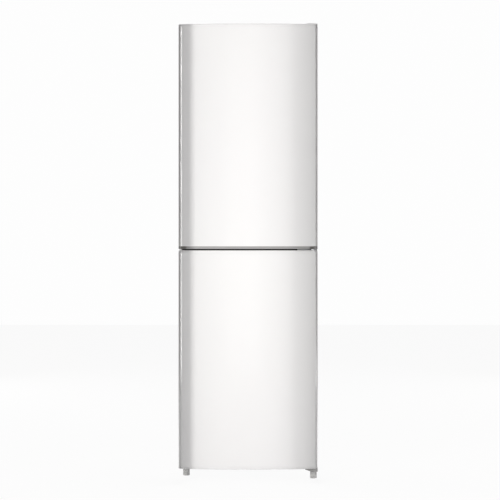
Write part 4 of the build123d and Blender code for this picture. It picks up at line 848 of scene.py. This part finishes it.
knob_y = (housing_y[0] - 10.0, housing_y[0] - 0.3)
knob = bmesh.new()
add_turned(
    knob,
    [(0.0, 0.0), (dial_radius, 0.0), (dial_radius, 1.5), (dial_radius - 1.0, 2.5)]
    + [(dial_radius - 1.2, 8.2), (dial_radius - 2.6, 9.6), (dial_radius - 5.5, 9.7)]
    + [(dial_radius - 6.5, 9.2), (0.0, 9.0)],
    (dial_x, knob_y[1], dial_z),
    (0, -1, 0),
    48,
)
knob_ribs = 24
for i in range(knob_ribs):
    angle = 2 * pi * i / knob_ribs
    rib_centre = Vector((dial_x, 0.0, dial_z)) + Vector((cos(angle), 0.0, sin(angle))) * 13.9
    add_turned(
        knob,
        [(0.0, 0.0), (0.75, 0.0), (0.6, 5.6), (0.0, 5.8)],
        (rib_centre.x, knob_y[1] - 2.2, rib_centre.z),
        (0, -1, 0),
        6,
    )
add_turned(
    knob,
    [(0.0, 0.0), (3.0, 0.0), (3.0, 12.0), (0.0, 12.0)],
    (dial_x, knob_y[1] - 1.0, dial_z),
    (0, 1, 0),
    16,
)
add_block(
    knob,
    (dial_x - 1.2, dial_x + 1.2),
    (knob_y[0] - 1.4, knob_y[0] + 1.5),
    (dial_z + 1.5, dial_z + 12.5),
    0.5,
)
fit(
    "thermostat_knob", knob, moulded_grey, "thermostat_dial", "thermostat_dial", slot="grey_plastic"
)

button_x, button_y, button_z = span("cooling_button")
fast_button = bmesh.new()
add_block(
    fast_button,
    (button_x[0] + 2.0, button_x[1] - 2.0),
    (button_y[0], button_y[1] - 2.0),
    (button_z[0] + 2.0, button_z[1] - 2.0),
    0.9,
    3,
)
add_block(fast_button, button_x, (button_y[1] - 2.0, button_y[1]), button_z, 0.3)
fit(
    "fast_button",
    fast_button,
    moulded_grey,
    "cooling_button",
    "cooling_button",
    slot="grey_plastic",
)

# The opal cover of the lamp, snapped in the housing's underside, with cast prisms across it.
opal = finish(
    "opal",
    (0.90, 0.90, 0.86),
    (0.88, 0.88, 0.85),
    gloss=(0.30, 0.42),
    grain=800.0,
    depth=0.00005,
    Transmission_Weight=0.45,
    IOR=1.49,
)
lens_x, lens_y, lens_z = span("lamp_lens")
lamp_cover = bmesh.new()
add_block(lamp_cover, lens_x, lens_y, (lens_z[0] + 4.0, lens_z[1]), 0.3)
add_block(
    lamp_cover,
    (lens_x[0] + 4.3, lens_x[1] - 4.3),
    (lens_y[0] + 4.3, lens_y[1] - 4.3),
    (lens_z[0] + 0.8, lens_z[0] + 4.2),
    1.2,
    3,
)
prism_count = 22
for i in range(prism_count):
    x = lens_x[0] + 8.0 + i * (lens_x[1] - lens_x[0] - 16.0) / (prism_count - 1)
    add_block(
        lamp_cover,
        (x - 1.6, x + 1.6),
        (lens_y[0] + 8.0, lens_y[1] - 8.0),
        (lens_z[0], lens_z[0] + 1.4),
        0.6,
    )
fit("lamp_cover", lamp_cover, opal, "cabinet", "lamp_lens", slot="lens_plastic")

# ---------------------------------------------------------------- shelves
# Toughened glass with ground edges, clipped in white profiles at the front and the back; the
# two plain panes in the freezer lie on ribs between the drawers.
shelf_glass = finish(
    "shelf_glass",
    (0.86, 0.95, 0.93),
    (0.84, 0.94, 0.915),
    gloss=(0.02, 0.05),
    grain=60.0,
    depth=0.00001,
    patches=3.0,
    IOR=1.52,
    Transmission_Weight=0.8,
    Alpha=0.5,
)
pane_sheet = 4.0
pane_x, pane_y, _ = span("fridge_shelf_glass")
fridge_panes = bmesh.new()
for height in shelf_heights:
    add_block(fridge_panes, pane_x, pane_y, (height, height + pane_sheet), 0.9)
fit("fridge_panes", fridge_panes, shelf_glass, "cabinet", "fridge_shelf_glass", slot="shelf_glass")
trim_x, (trim_front, trim_rear), _ = span("shelf_trims")
trim_bars = (
    ((trim_front, trim_front + 3.6), (-4.0, 9.0), 1.7, 4),
    ((trim_front + 2.0, trim_front + 13.0), (-4.0, -0.1), 1.2, 2),
    ((trim_front + 2.0, trim_front + 13.0), (4.1, 6.6), 1.0, 2),
    ((trim_rear - 13.0, trim_rear), (-4.0, -0.1), 1.2, 2),
    ((trim_rear - 13.0, trim_rear), (4.1, 7.0), 1.0, 2),
    ((trim_rear - 4.0, trim_rear), (-3.0, 16.0), 1.4, 4),
)
shelf_edges = bmesh.new()
for height in shelf_heights:
    for bar_y, (below, above), radius, steps in trim_bars:
        add_block(shelf_edges, trim_x, bar_y, (height + below, height + above), radius, steps)
fit("shelf_edges", shelf_edges, moulded_white, "cabinet", "shelf_trims", slot="white_plastic")
ice_x, ice_y, ice_z = span("freezer_shelf_glass")
freezer_panes = bmesh.new()
for low in (ice_z[0], ice_z[1] - pane_sheet):
    add_block(freezer_panes, ice_x, ice_y, (low, low + pane_sheet), 0.9)
fit(
    "freezer_panes",
    freezer_panes,
    shelf_glass,
    "cabinet",
    "freezer_shelf_glass",
    slot="shelf_glass",
)

# ---------------------------------------------------------------- crisper and drawers
# The crisper is one clear polystyrene tub on two runners, with a lip to pull it by and upright
# stiffening ribs.
clear_plastic = finish(
    "clear_plastic",
    (0.93, 0.96, 0.97),
    (0.91, 0.95, 0.965),
    gloss=(0.05, 0.10),
    grain=220.0,
    depth=0.00003,
    IOR=1.5,
    Transmission_Weight=0.7,
    Alpha=0.5,
)
tub_x, tub_y, tub_z = span("crisper")
crisper_floor = tub_z[0] + 2.7
crisper_tub = bmesh.new()
add_tub(crisper_tub, tub_x, tub_y, (crisper_floor, tub_z[1]), 2.5, 10.0, 4.0)
add_tub(
    crisper_tub,
    (tub_x[0] + 1.0, tub_x[1] - 1.0),
    (tub_y[0] + 1.0, tub_y[1] - 1.0),
    (tub_z[1] - 5.0, tub_z[1] - 0.2),
    2.6,
    9.0,
    0.0,
)
lip_x, lip_y = (-90.0, 90.0), (tub_y[0] + 1.2, tub_y[0] + 14.7)
add_block(crisper_tub, lip_x, lip_y, (tub_z[1] - 3.0, tub_z[1]), 1.2)
rib_pitch = 40.0
for i in range(9):
    x = rib_pitch * (i - 4)
    add_block(
        crisper_tub,
        (x - 1.2, x + 1.2),
        (tub_y[0] + 0.2, tub_y[0] + 1.6),
        (crisper_floor + 22.0, tub_z[1] - 40.0),
        0.6,
    )
runner_y, runner_z = (tub_y[0] + 20.0, tub_y[1] - 20.0), (tub_z[0], tub_z[0] + 3.2)
add_pair(crisper_tub, tub_x[1] - 40.0, tub_x[1] - 30.0, runner_y, runner_z, 0.8)
fit("crisper_tub", crisper_tub, clear_plastic, "crisper", "crisper", slot="clear_plastic")

# The three freezer drawers are moulded in translucent blue-white polystyrene: a tub with a rim
# that runs on the lining's rails, and a flat front with a slot for the fingers.
frosted = finish(
    "frosted_plastic",
    (0.84, 0.90, 0.94),
    (0.82, 0.885, 0.935),
    gloss=(0.28, 0.40),
    grain=700.0,
    depth=0.00006,
    IOR=1.5,
    Transmission_Weight=0.35,
    Alpha=0.8,
)


def add_slotted_plate(shape, x, y, z, slot_x, slot_z, corner=6.0):
    """Adds an upright plate with rounded corners and a slot with round ends through it."""
    part = bmesh.new()
    front = y[0]

    def loop(ends_x, ends_z, radius, steps):
        corners = ((0, 0), (1, 0), (1, 1), (0, 1))
        verts = [part.verts.new((ends_x[i], front, ends_z[j])) for i, j in corners]
        for i in range(4):
            part.edges.new((verts[i], verts[(i + 1) % 4]))
        bmesh.ops.bevel(
            part,
            geom=verts,
            offset=radius,
            segments=steps,
            profile=0.5,
            affect="VERTICES",
            material=-1,
        )

    loop(x, z, corner, 4)
    loop(slot_x, slot_z, (slot_z[1] - slot_z[0]) / 2 - 0.05, 7)
    bmesh.ops.triangle_fill(part, use_beauty=True, use_dissolve=False, edges=part.edges[:])
    thicken(part, (0.0, y[1] - y[0], 0.0))
    round_edges(part, creases(part, 1.2), 0.8, 2)
    pour(part, shape)


for level in ("bottom", "middle", "top"):
    node = f"freezer_drawer_{level}"
    outer_x, outer_y, outer_z = span(node)
    rim_z = outer_z[1] - 6.0
    drawer = bmesh.new()
    side = outer_x[1] - 8.0
    tub = bmesh.new()
    add_tub(tub, (-side, side), (outer_y[0] + 3.0, outer_y[1]), (outer_z[0], rim_z), 2.5, 12.0, 6.0)
    front_wall = [
        face
        for face in tub.faces
        if within(face, y=(outer_y[0] + 2.0, outer_y[0] + 6.0)) and abs(face.normal.y) > 0.9
    ]
    bmesh.ops.delete(tub, geom=front_wall, context="FACES_ONLY")
    pour(tub, drawer)
    for way in (-1, 1):
        rail_x = sorted((way * (side - 1.0), way * outer_x[1]))
        add_block(drawer, rail_x, (outer_y[0] + 3.0, outer_y[1] - 12.0), (rim_z - 3.0, rim_z), 1.0)
        for i in range(4):
            y = outer_y[0] + 45.0 + i * (outer_y[1] - outer_y[0] - 90.0) / 3
            rib_x = sorted((way * (side - 0.6), way * (side + 1.0)))
            add_block(drawer, rib_x, (y - 1.5, y + 1.5), (outer_z[0] + 20.0, rim_z - 20.0), 0.7)
    add_slotted_plate(
        drawer,
        outer_x,
        (outer_y[0], outer_y[0] + 4.0),
        outer_z,
        (-65.0, 65.0),
        (outer_z[1] - 44.0, outer_z[1] - 20.0),
    )
    for way in (-1, 1):
        band_x = sorted((way * 84.0, way * 190.0))
        for k in range(3):
            z = outer_z[0] + 62.0 + 34.0 * k
            add_block(drawer, band_x, (outer_y[0] - 0.9, outer_y[0] + 0.6), (z - 1.4, z + 1.4), 0.6)
    fit(
        f"{level}_freezer_drawer",
        drawer,
        frosted,
        f"{level}_drawer",
        node,
        slot="frosted_plastic",
    )

# ---------------------------------------------------------------- doors
# Each front is one sheet of pre-painted gloss white steel, crowned across its width and folded
# back at both sides, with the grip let into its left edge.
door_paint = finish(
    "door_paint",
    (0.885, 0.885, 0.875),
    (0.875, 0.872, 0.868),
    gloss=(0.10, 0.16),
    grain=420.0,
    depth=0.000012,
    patches=1.6,
    IOR=1.5,
    Coat_Weight=1.0,
    Coat_Roughness=0.03,
    Coat_IOR=1.75,
)
door_half, door_edge, door_crown, door_back = 275.0, -293.0, 22.0, -241.0
corner_radius = 14.0
sweep_radius = (door_half**2 + door_crown**2) / (2 * door_crown)
sweep_centre = door_edge - door_crown + sweep_radius


def draw_door(shape, z, inset=0.0, back=door_back, closed=False):
    """Draws a door's outline seen from above: flat sides, rounded corners and the crowned front."""
    corner_x = door_half - corner_radius
    reach = sweep_radius - corner_radius
    corner_y = sweep_centre - (reach**2 - corner_x**2) ** 0.5
    lean = asin(corner_x / reach)
    start = shape.verts.new((-door_half + inset, back, z))
    last = bmesh.ops.extrude_vert_indiv(shape, verts=[start])["verts"][0]
    last.co = (-door_half + inset, corner_y, z)
    for centre, angle, steps in (
        ((-corner_x, corner_y, z), pi / 2 - lean, 12),
        ((0.0, sweep_centre, z), 2 * lean, 72),
        ((corner_x, corner_y, z), pi / 2 - lean, 12),
    ):
        made = bmesh.ops.spin(
            shape, geom=[last], cent=centre, axis=(0.0, 0.0, 1.0), angle=angle, steps=steps
        )
        last = [piece for piece in made["geom_last"] if isinstance(piece, bmesh.types.BMVert)][0]
    end = bmesh.ops.extrude_vert_indiv(shape, verts=[last])["verts"][0]
    end.co = (door_half - inset, back, z)
    if closed:
        shape.edges.new((end, start))


def on_left_side(face, inset=0.0):
    """Tells whether a face lies on a door's left side, or inside it by the inset."""
    return all(vert.co.x < -door_half + inset + 0.01 for vert in face.verts)


door_sheet = 0.8
grip_y = (-281.0, -251.0)
for name in ("fridge_door", "freezer_door"):
    skin_z = span(f"{name}_skin")[2]
    grip_z = span(f"{name}_grip")[2]
    front = bmesh.new()
    draw_door(front, skin_z[0])
    made = bmesh.ops.extrude_edge_only(front, edges=front.edges[:])
    raised = [piece for piece in made["geom"] if isinstance(piece, bmesh.types.BMVert)]
    bmesh.ops.translate(front, vec=(0.0, 0.0, skin_z[1] - skin_z[0]), verts=raised)
    bmesh.ops.recalc_face_normals(front, faces=front.faces)
    front.faces.ensure_lookup_table()
    if min(front.faces, key=lambda face: face.calc_center_median().y).normal.y > 0:
        bmesh.ops.reverse_faces(front, faces=front.faces)

    score(front, on_left_side, y=grip_y, z=grip_z)
    cutout = [
        face for face in front.faces if on_left_side(face) and within(face, y=grip_y, z=grip_z)
    ]
    bmesh.ops.delete(front, geom=cutout, context="FACES")
    bmesh.ops.solidify(front, geom=front.faces[:], thickness=door_sheet)
    fit(f"{name}_front", front, door_paint, name, f"{name}_skin", slot="door_paint", sharp=25.0)

# The moulded cup that the fingers pull, snapped in the cut-out in the door's edge.
grip_grey = finish(
    "grip_grey",
    (0.50, 0.50, 0.50),
    (0.47, 0.47, 0.475),
    gloss=(0.34, 0.46),
    grain=1500.0,
    depth=0.00006,
)
cup_wall = 2.0
for name in ("fridge_door", "freezer_door"):
    cup_x, cup_y, cup_z = span(f"{name}_grip")
    cup = bmesh.new()
    add_block(cup, cup_x, cup_y, cup_z)
    mouth = [face for face in cup.faces if face.normal.x < -0.9]
    bmesh.ops.inset_region(cup, faces=mouth, thickness=cup_wall, use_even_offset=True)
    inner_y, inner_z = ((ends[0] + 2.5, ends[1] - 2.5) for ends in (cup_y, cup_z))
    pocket = [
        face for face in cup.faces if face.normal.x < -0.9 and within(face, y=inner_y, z=inner_z)
    ]
    grow(cup, pocket, (cup_x[1] - cup_x[0] - cup_wall, 0.0, 0.0))
    walls = [
        edge
        for edge in cup.edges
        if abs(edge.verts[0].co.x - edge.verts[1].co.x) > 5.0
        and all(cup_y[0] + 1.0 < vert.co.y < cup_y[1] - 1.0 for vert in edge.verts)
        and all(cup_z[0] + 1.0 < vert.co.z < cup_z[1] - 1.0 for vert in edge.verts)
    ]
    round_edges(cup, walls, 7.5, 6)
    floor_edges = [
        edge
        for edge in cup.edges
        if len(edge.link_faces) == 2
        and all(vert.co.x > cup_x[1] - 2.5 for vert in edge.verts)
        and all(vert.co.x < cup_x[1] - 1.0 for vert in edge.verts)
        and edge.calc_face_angle() > 0.8
    ]
    round_edges(cup, floor_edges, 3.0, 3)
    fit(f"{name}_pull", cup, grip_grey, name, f"{name}_grip", slot="grey_plastic")

# End caps of the doors: white at the top of both and under the freezer door, grey under the
# fridge door, where the gap shows it. Each has a bush for the hinge pin at both sides.
cap_white = finish(
    "cap_white",
    (0.84, 0.84, 0.835),
    (0.82, 0.82, 0.815),
    gloss=(0.26, 0.36),
    grain=1000.0,
    depth=0.00004,
    IOR=1.5,
)
cap_grey = finish(
    "cap_grey",
    (0.37, 0.365, 0.36),
    (0.35, 0.345, 0.34),
    gloss=(0.36, 0.48),
    grain=1300.0,
    depth=0.00005,
)
pin_x, pin_y, pin_hole = 259.0, -263.0, 5.3


def add_end_cap(shape, z, plug_up, notches=()):
    """Adds an end cap with its two pin holes, the spare one closed by a plug."""
    part = bmesh.new()
    draw_door(part, z[0], closed=True)
    for x in (-pin_x, pin_x):
        made = bmesh.ops.create_circle(part, cap_ends=False, segments=24, radius=pin_hole)
        bmesh.ops.translate(part, vec=(x, pin_y, z[0]), verts=made["verts"])
    bmesh.ops.triangle_fill(part, use_beauty=True, use_dissolve=False, edges=part.edges[:])
    if notches:
        lines = [side * value for side in (-1, 1) for value in notches[:2]]
        score(part, lambda face: True, x=lines, y=(notches[2],))
        for side in (-1, 1):
            reach_x = sorted((side * notches[0], side * notches[1]))
            cut = [face for face in part.faces if within(face, x=reach_x, y=(-400.0, notches[2]))]
            bmesh.ops.delete(part, geom=cut, context="FACES")
    thicken(part, (0.0, 0.0, z[1] - z[0]))
    outer = z[1] if plug_up else z[0]
    round_edges(part, creases(part, 1.2, along_z, outer), 0.9, 3)
    pour(part, shape)
    add_turned(
        shape,
        [(0.0, -1.0), (pin_hole + 1.6, -1.0), (pin_hole + 1.6, 0.2)]
        + [(pin_hole + 1.0, 0.6), (0.0, 0.7)],
        (-pin_x, pin_y, outer),
        (0, 0, 1 if plug_up else -1),
        24,
    )


cap_height, grey_height, notch = 8.5, 10.5, (243.0, 262.5, -269.0)
upper_skin, lower_skin = span("fridge_door_skin")[2], span("freezer_door_skin")[2]
upper_cap = bmesh.new()
add_end_cap(upper_cap, (upper_skin[1], upper_skin[1] + cap_height), True)
fit(
    "fridge_top_cap",
    upper_cap,
    cap_white,
    "fridge_door",
    "fridge_door_top_cap",
    slot="white_plastic",
)
notched_cap = bmesh.new()
add_end_cap(notched_cap, (upper_skin[0] - grey_height, upper_skin[0]), False, notch)
fit(
    "fridge_notched_cap",
    notched_cap,
    cap_grey,
    "fridge_door",
    "fridge_door_bottom_cap",
    slot="grey_plastic",
)
lower_caps = bmesh.new()
add_end_cap(lower_caps, (lower_skin[1], lower_skin[1] + cap_height), True)
add_end_cap(lower_caps, (lower_skin[0] - cap_height, lower_skin[0]), False)
fit(
    "freezer_end_caps",
    lower_caps,
    cap_white,
    "freezer_door",
    "freezer_door_caps",
    slot="white_plastic",
)

# The inner side of each door: a formed white sheet. The fridge door's has two upright dykes
# whose bosses carry the bins, the freezer door's one low plateau.
liner_y = (-243.0, -241.0)
plate_x = (-274.2, 274.2)
bin_height, dairy_height, tab_sheet = 80.0, 85.0, 6.0
bin_x, bin_y, bin_z = span("door_bins")
dairy_z = span("dairy_bin")[2]
bin_tops = (bin_z[0] + bin_height, bin_z[1], dairy_z[0] + dairy_height)
boss_tops = [top - tab_sheet for top in bin_tops]


def add_formed_sheet(x, z, raised, depth, radius):
    """Draws a flat sheet facing the compartment with raised fields, and gives it its thickness."""
    part = bmesh.new()
    corners = [(x[0], z[0]), (x[0], z[1]), (x[1], z[1]), (x[1], z[0])]
    part.faces.new([part.verts.new((a, liner_y[1], b)) for a, b in corners])
    bmesh.ops.recalc_face_normals(part, faces=part.faces)
    part.faces.ensure_lookup_table()
    if part.faces[0].normal.y < 0:
        bmesh.ops.reverse_faces(part, faces=part.faces)
    lines_x = sorted({value for field in raised for value in field[0]})
    lines_z = sorted({value for field in raised for value in field[1]})
    score(part, lambda face: True, x=lines_x, z=lines_z)
    for field_x, field_z in raised:
        field = [face for face in part.faces if within(face, x=field_x, z=field_z)]
        grow(part, field, (0.0, depth, 0.0))
    round_edges(part, creases(part, 1.0), radius, 4)
    bmesh.ops.solidify(part, geom=part.faces[:], thickness=lining_sheet)
    return part


dyke_z = (fridge_floor + 8.0, fridge_ceiling - 8.0)
fridge_inner = add_formed_sheet(
    plate_x,
    span("fridge_door_liner")[2],
    [((-214.0, -200.0), dyke_z), ((200.0, 214.0), dyke_z)],
    60.0,
    4.0,
)
for side in (-1, 1):
    for top in boss_tops:
        boss_x = sorted((side * 196.0, side * 201.0))
        add_block(fridge_inner, boss_x, (-227.0, -195.0), (top - 8.0, top - 0.1), 1.4)
fit(
    "fridge_door_inner",
    fridge_inner,
    lining_white,
    "fridge_door",
    "fridge_door_liner",
    slot="liner_plastic",
)
plateau_z = (103.0, 847.25)
freezer_inner = add_formed_sheet(
    plate_x,
    span("freezer_door_liner")[2],
    [((-205.0, 205.0), plateau_z)],
    8.0,
    3.0,
)
fit(
    "freezer_door_inner",
    freezer_inner,
    lining_white,
    "freezer_door",
    "freezer_door_liner",
    slot="liner_plastic",
)

# The foam between front and inner sheet, poured with the door clamped shut in a mould; it fills
# the dykes too and leaves room for the grip.
for name, fields in (
    ("fridge_door", [((-212.0, -202.0), dyke_z), ((202.0, 212.0), dyke_z)]),
    ("freezer_door", [((-203.0, 203.0), plateau_z)]),
):
    skin_z, grip_z = span(f"{name}_skin")[2], span(f"{name}_grip")[2]
    reach_y = span(f"{name}_foam")[1][1]
    filling = bmesh.new()
    draw_door(filling, skin_z[0], inset=door_sheet, back=liner_y[0], closed=True)
    bmesh.ops.edgeloop_fill(filling, edges=filling.edges[:])
    thicken(filling, (0.0, 0.0, skin_z[1] - skin_z[0]))
    score(filling, lambda face: on_left_side(face, door_sheet), y=grip_y, z=grip_z)
    room = [
        face
        for face in filling.faces
        if on_left_side(face, door_sheet) and within(face, y=grip_y, z=grip_z)
    ]
    grow(filling, room, (21.2, 0.0, 0.0))
    for field_x, field_z in fields:
        add_block(
            filling, field_x, (liner_y[0] - 2.0, reach_y), (field_z[0] + 2.0, field_z[1] - 2.0)
        )
    fit(f"{name}_filling", filling, foam_yellow, name, f"{name}_foam", slot="rigid_foam")

# The magnetic gaskets: a soft grey-white extrusion, mitred and welded at its corners, with a
# foot pressed into the door and a bead that closes on the cabinet.
gasket_soft = finish(
    "gasket_soft",
    (0.74, 0.74, 0.725),
    (0.71, 0.71, 0.70),
    gloss=(0.5, 0.62),
    grain=700.0,
    depth=0.00006,
    patches=12.0,
)


def add_frame(shape, x, y, z, inset, width, radius):
    """Adds an oblong frame of the given width, set in from its ends, with rounded front edges."""
    part = bmesh.new()
    outer, inner = (
        [
            part.verts.new((corner_x, y[0], corner_z))
            for corner_x, corner_z in (
                (x[0] + back, z[0] + back),
                (x[0] + back, z[1] - back),
                (x[1] - back, z[1] - back),
                (x[1] - back, z[0] + back),
            )
        ]
        for back in (inset, inset + width)
    )
    for i in range(4):
        after = (i + 1) % 4
        part.faces.new((outer[i], outer[after], inner[after], inner[i]))
    thicken(part, (0.0, y[1] - y[0], 0.0))
    round_edges(part, creases(part, 1.0, along_y, y[1]), radius, 3)
    pour(part, shape)


for name in ("fridge_door", "freezer_door"):
    seal_x, seal_y, seal_z = span(f"{name}_gasket")
    seal = bmesh.new()
    add_frame(seal, seal_x, (seal_y[0], seal_y[0] + 2.6), seal_z, 0.0, 18.0, 1.0)
    add_frame(seal, seal_x, (seal_y[0] + 2.0, seal_y[0] + 5.6), seal_z, 6.0, 6.0, 0.4)
    add_frame(seal, seal_x, (seal_y[0] + 4.8, seal_y[1]), seal_z, 2.5, 13.0, 2.0)
    fit(f"{name}_seal", seal, gasket_soft, name, f"{name}_gasket", slot="gasket_rubber")

# Clear bins hang between the dykes on tabs; the top one has a lid for butter and cheese that
# swings up on two pins.



def add_bin(shape, low, high):
    """Adds a door bin with a thickened rim, side tabs and a band across its front."""
    add_tub(shape, (bin_x[0] + 4.0, bin_x[1] - 4.0), bin_y, (low, high), 2.5, 7.5, 3.0)
    add_pair(shape, bin_x[1] - 5.5, bin_x[1], (-226.5, -195.5), (high - tab_sheet, high), 1.0)
    for z in (low + 18.0, high - 9.0):
        add_block(shape, (-160.0, 160.0), (bin_y[1] - 1.2, bin_y[1] + 0.2), (z - 1.5, z + 1.5), 0.6)


door_shelves = bmesh.new()
for low in (bin_z[0], bin_z[1] - bin_height):
    add_bin(door_shelves, low, low + bin_height)
fit("door_shelves", door_shelves, clear_plastic, "fridge_door", "door_bins", slot="clear_plastic")
butter_box = bmesh.new()
add_bin(butter_box, dairy_z[0], dairy_z[0] + dairy_height)
ear_z = (dairy_z[0] + 82.0, dairy_z[1])
add_pair(butter_box, bin_x[1] - 6.6, bin_x[1] - 4.0, (-239.0, -229.0), ear_z, 0.8)
fit("butter_box", butter_box, clear_plastic, "fridge_door", "dairy_bin", slot="clear_plastic")
lid_x, lid_y, lid_z = span("dairy_lid")
lid_pin_y, lid_pin_z = -234.0, 1620.25
butter_lid = bmesh.new()
plate_ends = (lid_x[0] + 3.0, lid_x[1] - 3.0)
add_block(butter_lid, plate_ends, lid_y, (lid_z[1] - 3.0, lid_z[1]), 1.3, 3)
add_block(butter_lid, plate_ends, (lid_y[1] - 2.5, lid_y[1]), (lid_z[0], lid_z[1] - 0.2), 1.0, 3)
add_turned(
    butter_lid,
    [(0.0, 0.0), (2.0, 0.0), (2.0, lid_x[1] - lid_x[0]), (0.0, lid_x[1] - lid_x[0])],
    (lid_x[0], lid_pin_y, lid_pin_z),
    (1, 0, 0),
    12,
)
fit("butter_lid", butter_lid, clear_plastic, "dairy_lid", "dairy_lid", slot="clear_plastic")

# ---------------------------------------------------------------- hinges
# Pressed plates of 3 and 4 mm zinc-plated steel with riveted pins, and the countersunk screws
# that hold them.
hinge_zinc = finish(
    "hinge_zinc",
    (0.56, 0.57, 0.58),
    (0.66, 0.665, 0.67),
    gloss=(0.26, 0.4),
    grain=380.0,
    depth=0.00003,
    patches=30.0,
    stretch=(1.0, 0.2, 1.0),
    Metallic=1.0,
)
for node in ("top_hinge", "middle_hinge", "bottom_hinge", "hinge_screws"):
    dress(node, hinge_zinc)

# The white cap over the top hinge, stepped down over the door's corner, and the grey skirt
# round the bottom one.
cap_x, cap_y, cap_z = span("top_hinge_cover")
hinge_cap = bmesh.new()
outline = [
    (cap_x[0], cap_z[1] - 5.0),
    (cap_x[0] + 22.0, cap_z[1]),
    (cap_x[1] - 12.0, cap_z[1]),
    (cap_x[1], cap_z[1] - 2.0),
    (cap_x[1], cap_z[0]),
    (cap_x[0], cap_z[0]),
]
hinge_cap.faces.new([hinge_cap.verts.new((x, cap_y[0], z)) for x, z in outline])
thicken(hinge_cap, (0.0, cap_y[1] - cap_y[0], 0.0))
under = [face for face in hinge_cap.faces if face.normal.z < -0.9]
bmesh.ops.delete(hinge_cap, geom=under, context="FACES_ONLY")
round_edges(hinge_cap, [edge for edge in hinge_cap.edges if not edge.is_boundary], 1.2, 3)
bmesh.ops.solidify(hinge_cap, geom=hinge_cap.faces[:], thickness=0.9)
door_swing_back, cap_rest = -229.7, 1795.0
for vert in hinge_cap.verts:
    if vert.co.y > door_swing_back and vert.co.z < cap_rest:
        vert.co.z = cap_rest
fit("hinge_cap", hinge_cap, cap_white, "cabinet", "top_hinge_cover", slot="white_plastic")
dress("bottom_hinge_cover", cap_grey)

# ---------------------------------------------------------------- feet and rollers
# Two levelling feet screw into the base at the front, ribbed round the edge so that fingers can
# turn them, and two plastic rollers carry the back.
foot_plastic = finish(
    "foot_plastic",
    (0.66, 0.66, 0.65),
    (0.58, 0.58, 0.57),
    gloss=(0.45, 0.62),
    grain=900.0,
    depth=0.0001,
    patches=60.0,
)
rib_radius, groove_radius, thread_pitch = 13.2, 11.0, 1.5
for name in ("foot_left", "foot_right"):
    foot_x, foot_y, foot_z = span(name)
    centre = (sum(foot_x) / 2, sum(foot_y) / 2)
    foot = bmesh.new()
    body_top = min(foot_z[1] - 20.0, 37.0) if name == "foot_left" else 26.5
    disc = bmesh.new()
    bmesh.ops.create_circle(disc, cap_ends=True, segments=72, radius=rib_radius)
    for i, vert in enumerate(disc.verts):
        if i % 4 in (0, 1):
            vert.co.x *= groove_radius / rib_radius
            vert.co.y *= groove_radius / rib_radius
    thicken(disc, (0.0, 0.0, body_top - 4.5))
    bmesh.ops.translate(disc, vec=(centre[0], centre[1], 2.5), verts=disc.verts)
    pour(disc, foot)
    add_turned(
        foot,
        [(0.0, 0.0), (12.4, 0.0), (13.6, 0.8), (13.6, 2.6), (12.2, 3.4), (0.0, 3.4)],
        (*centre, 0.0),
        (0, 0, 1),
        36,
    )
    add_turned(
        foot,
        [(0.0, -3.2), (13.4, -3.2), (13.5, -1.2), (12.6, 0.0), (0.0, 0.0)],
        (*centre, body_top),
        (0, 0, 1),
        36,
    )
    thread = [(0.0, body_top - 1.0)]
    height = body_top - 1.0
    while height + thread_pitch < foot_z[1]:
        thread += [(4.2, height), (5.0, height + thread_pitch / 2)]
        height += thread_pitch
    thread += [(4.2, height), (4.2, foot_z[1]), (0.0, foot_z[1])]
    add_turned(foot, thread, (*centre, 0.0), (0, 0, 1), 20)
    fit(f"levelling_{name}", foot, foot_plastic, name, name, slot="foot_plastic")

for name in ("roller_left", "roller_right"):
    wheel_x, wheel_y, wheel_z = span(name)
    width = wheel_x[1] - wheel_x[0]
    radius = (wheel_z[1] - wheel_z[0]) / 2
    half_profile = [(2.6, 0.0), (6.0, 0.0), (6.5, 2.0), (13.0, 2.2), (13.6, 0.6)]
    half_profile += [(radius - 2.0, 0.0), (radius - 0.4, 0.9), (radius, 2.4)]
    wheel = bmesh.new()
    add_turned(
        wheel,
        half_profile
        + [(across, width - along) for across, along in reversed(half_profile)]
        + half_profile[:1],
        (wheel_x[0], sum(wheel_y) / 2, sum(wheel_z) / 2),
        (1, 0, 0),
        40,
    )
    fit(f"castor_{name}", wheel, foot_plastic, name, name, slot="foot_plastic")
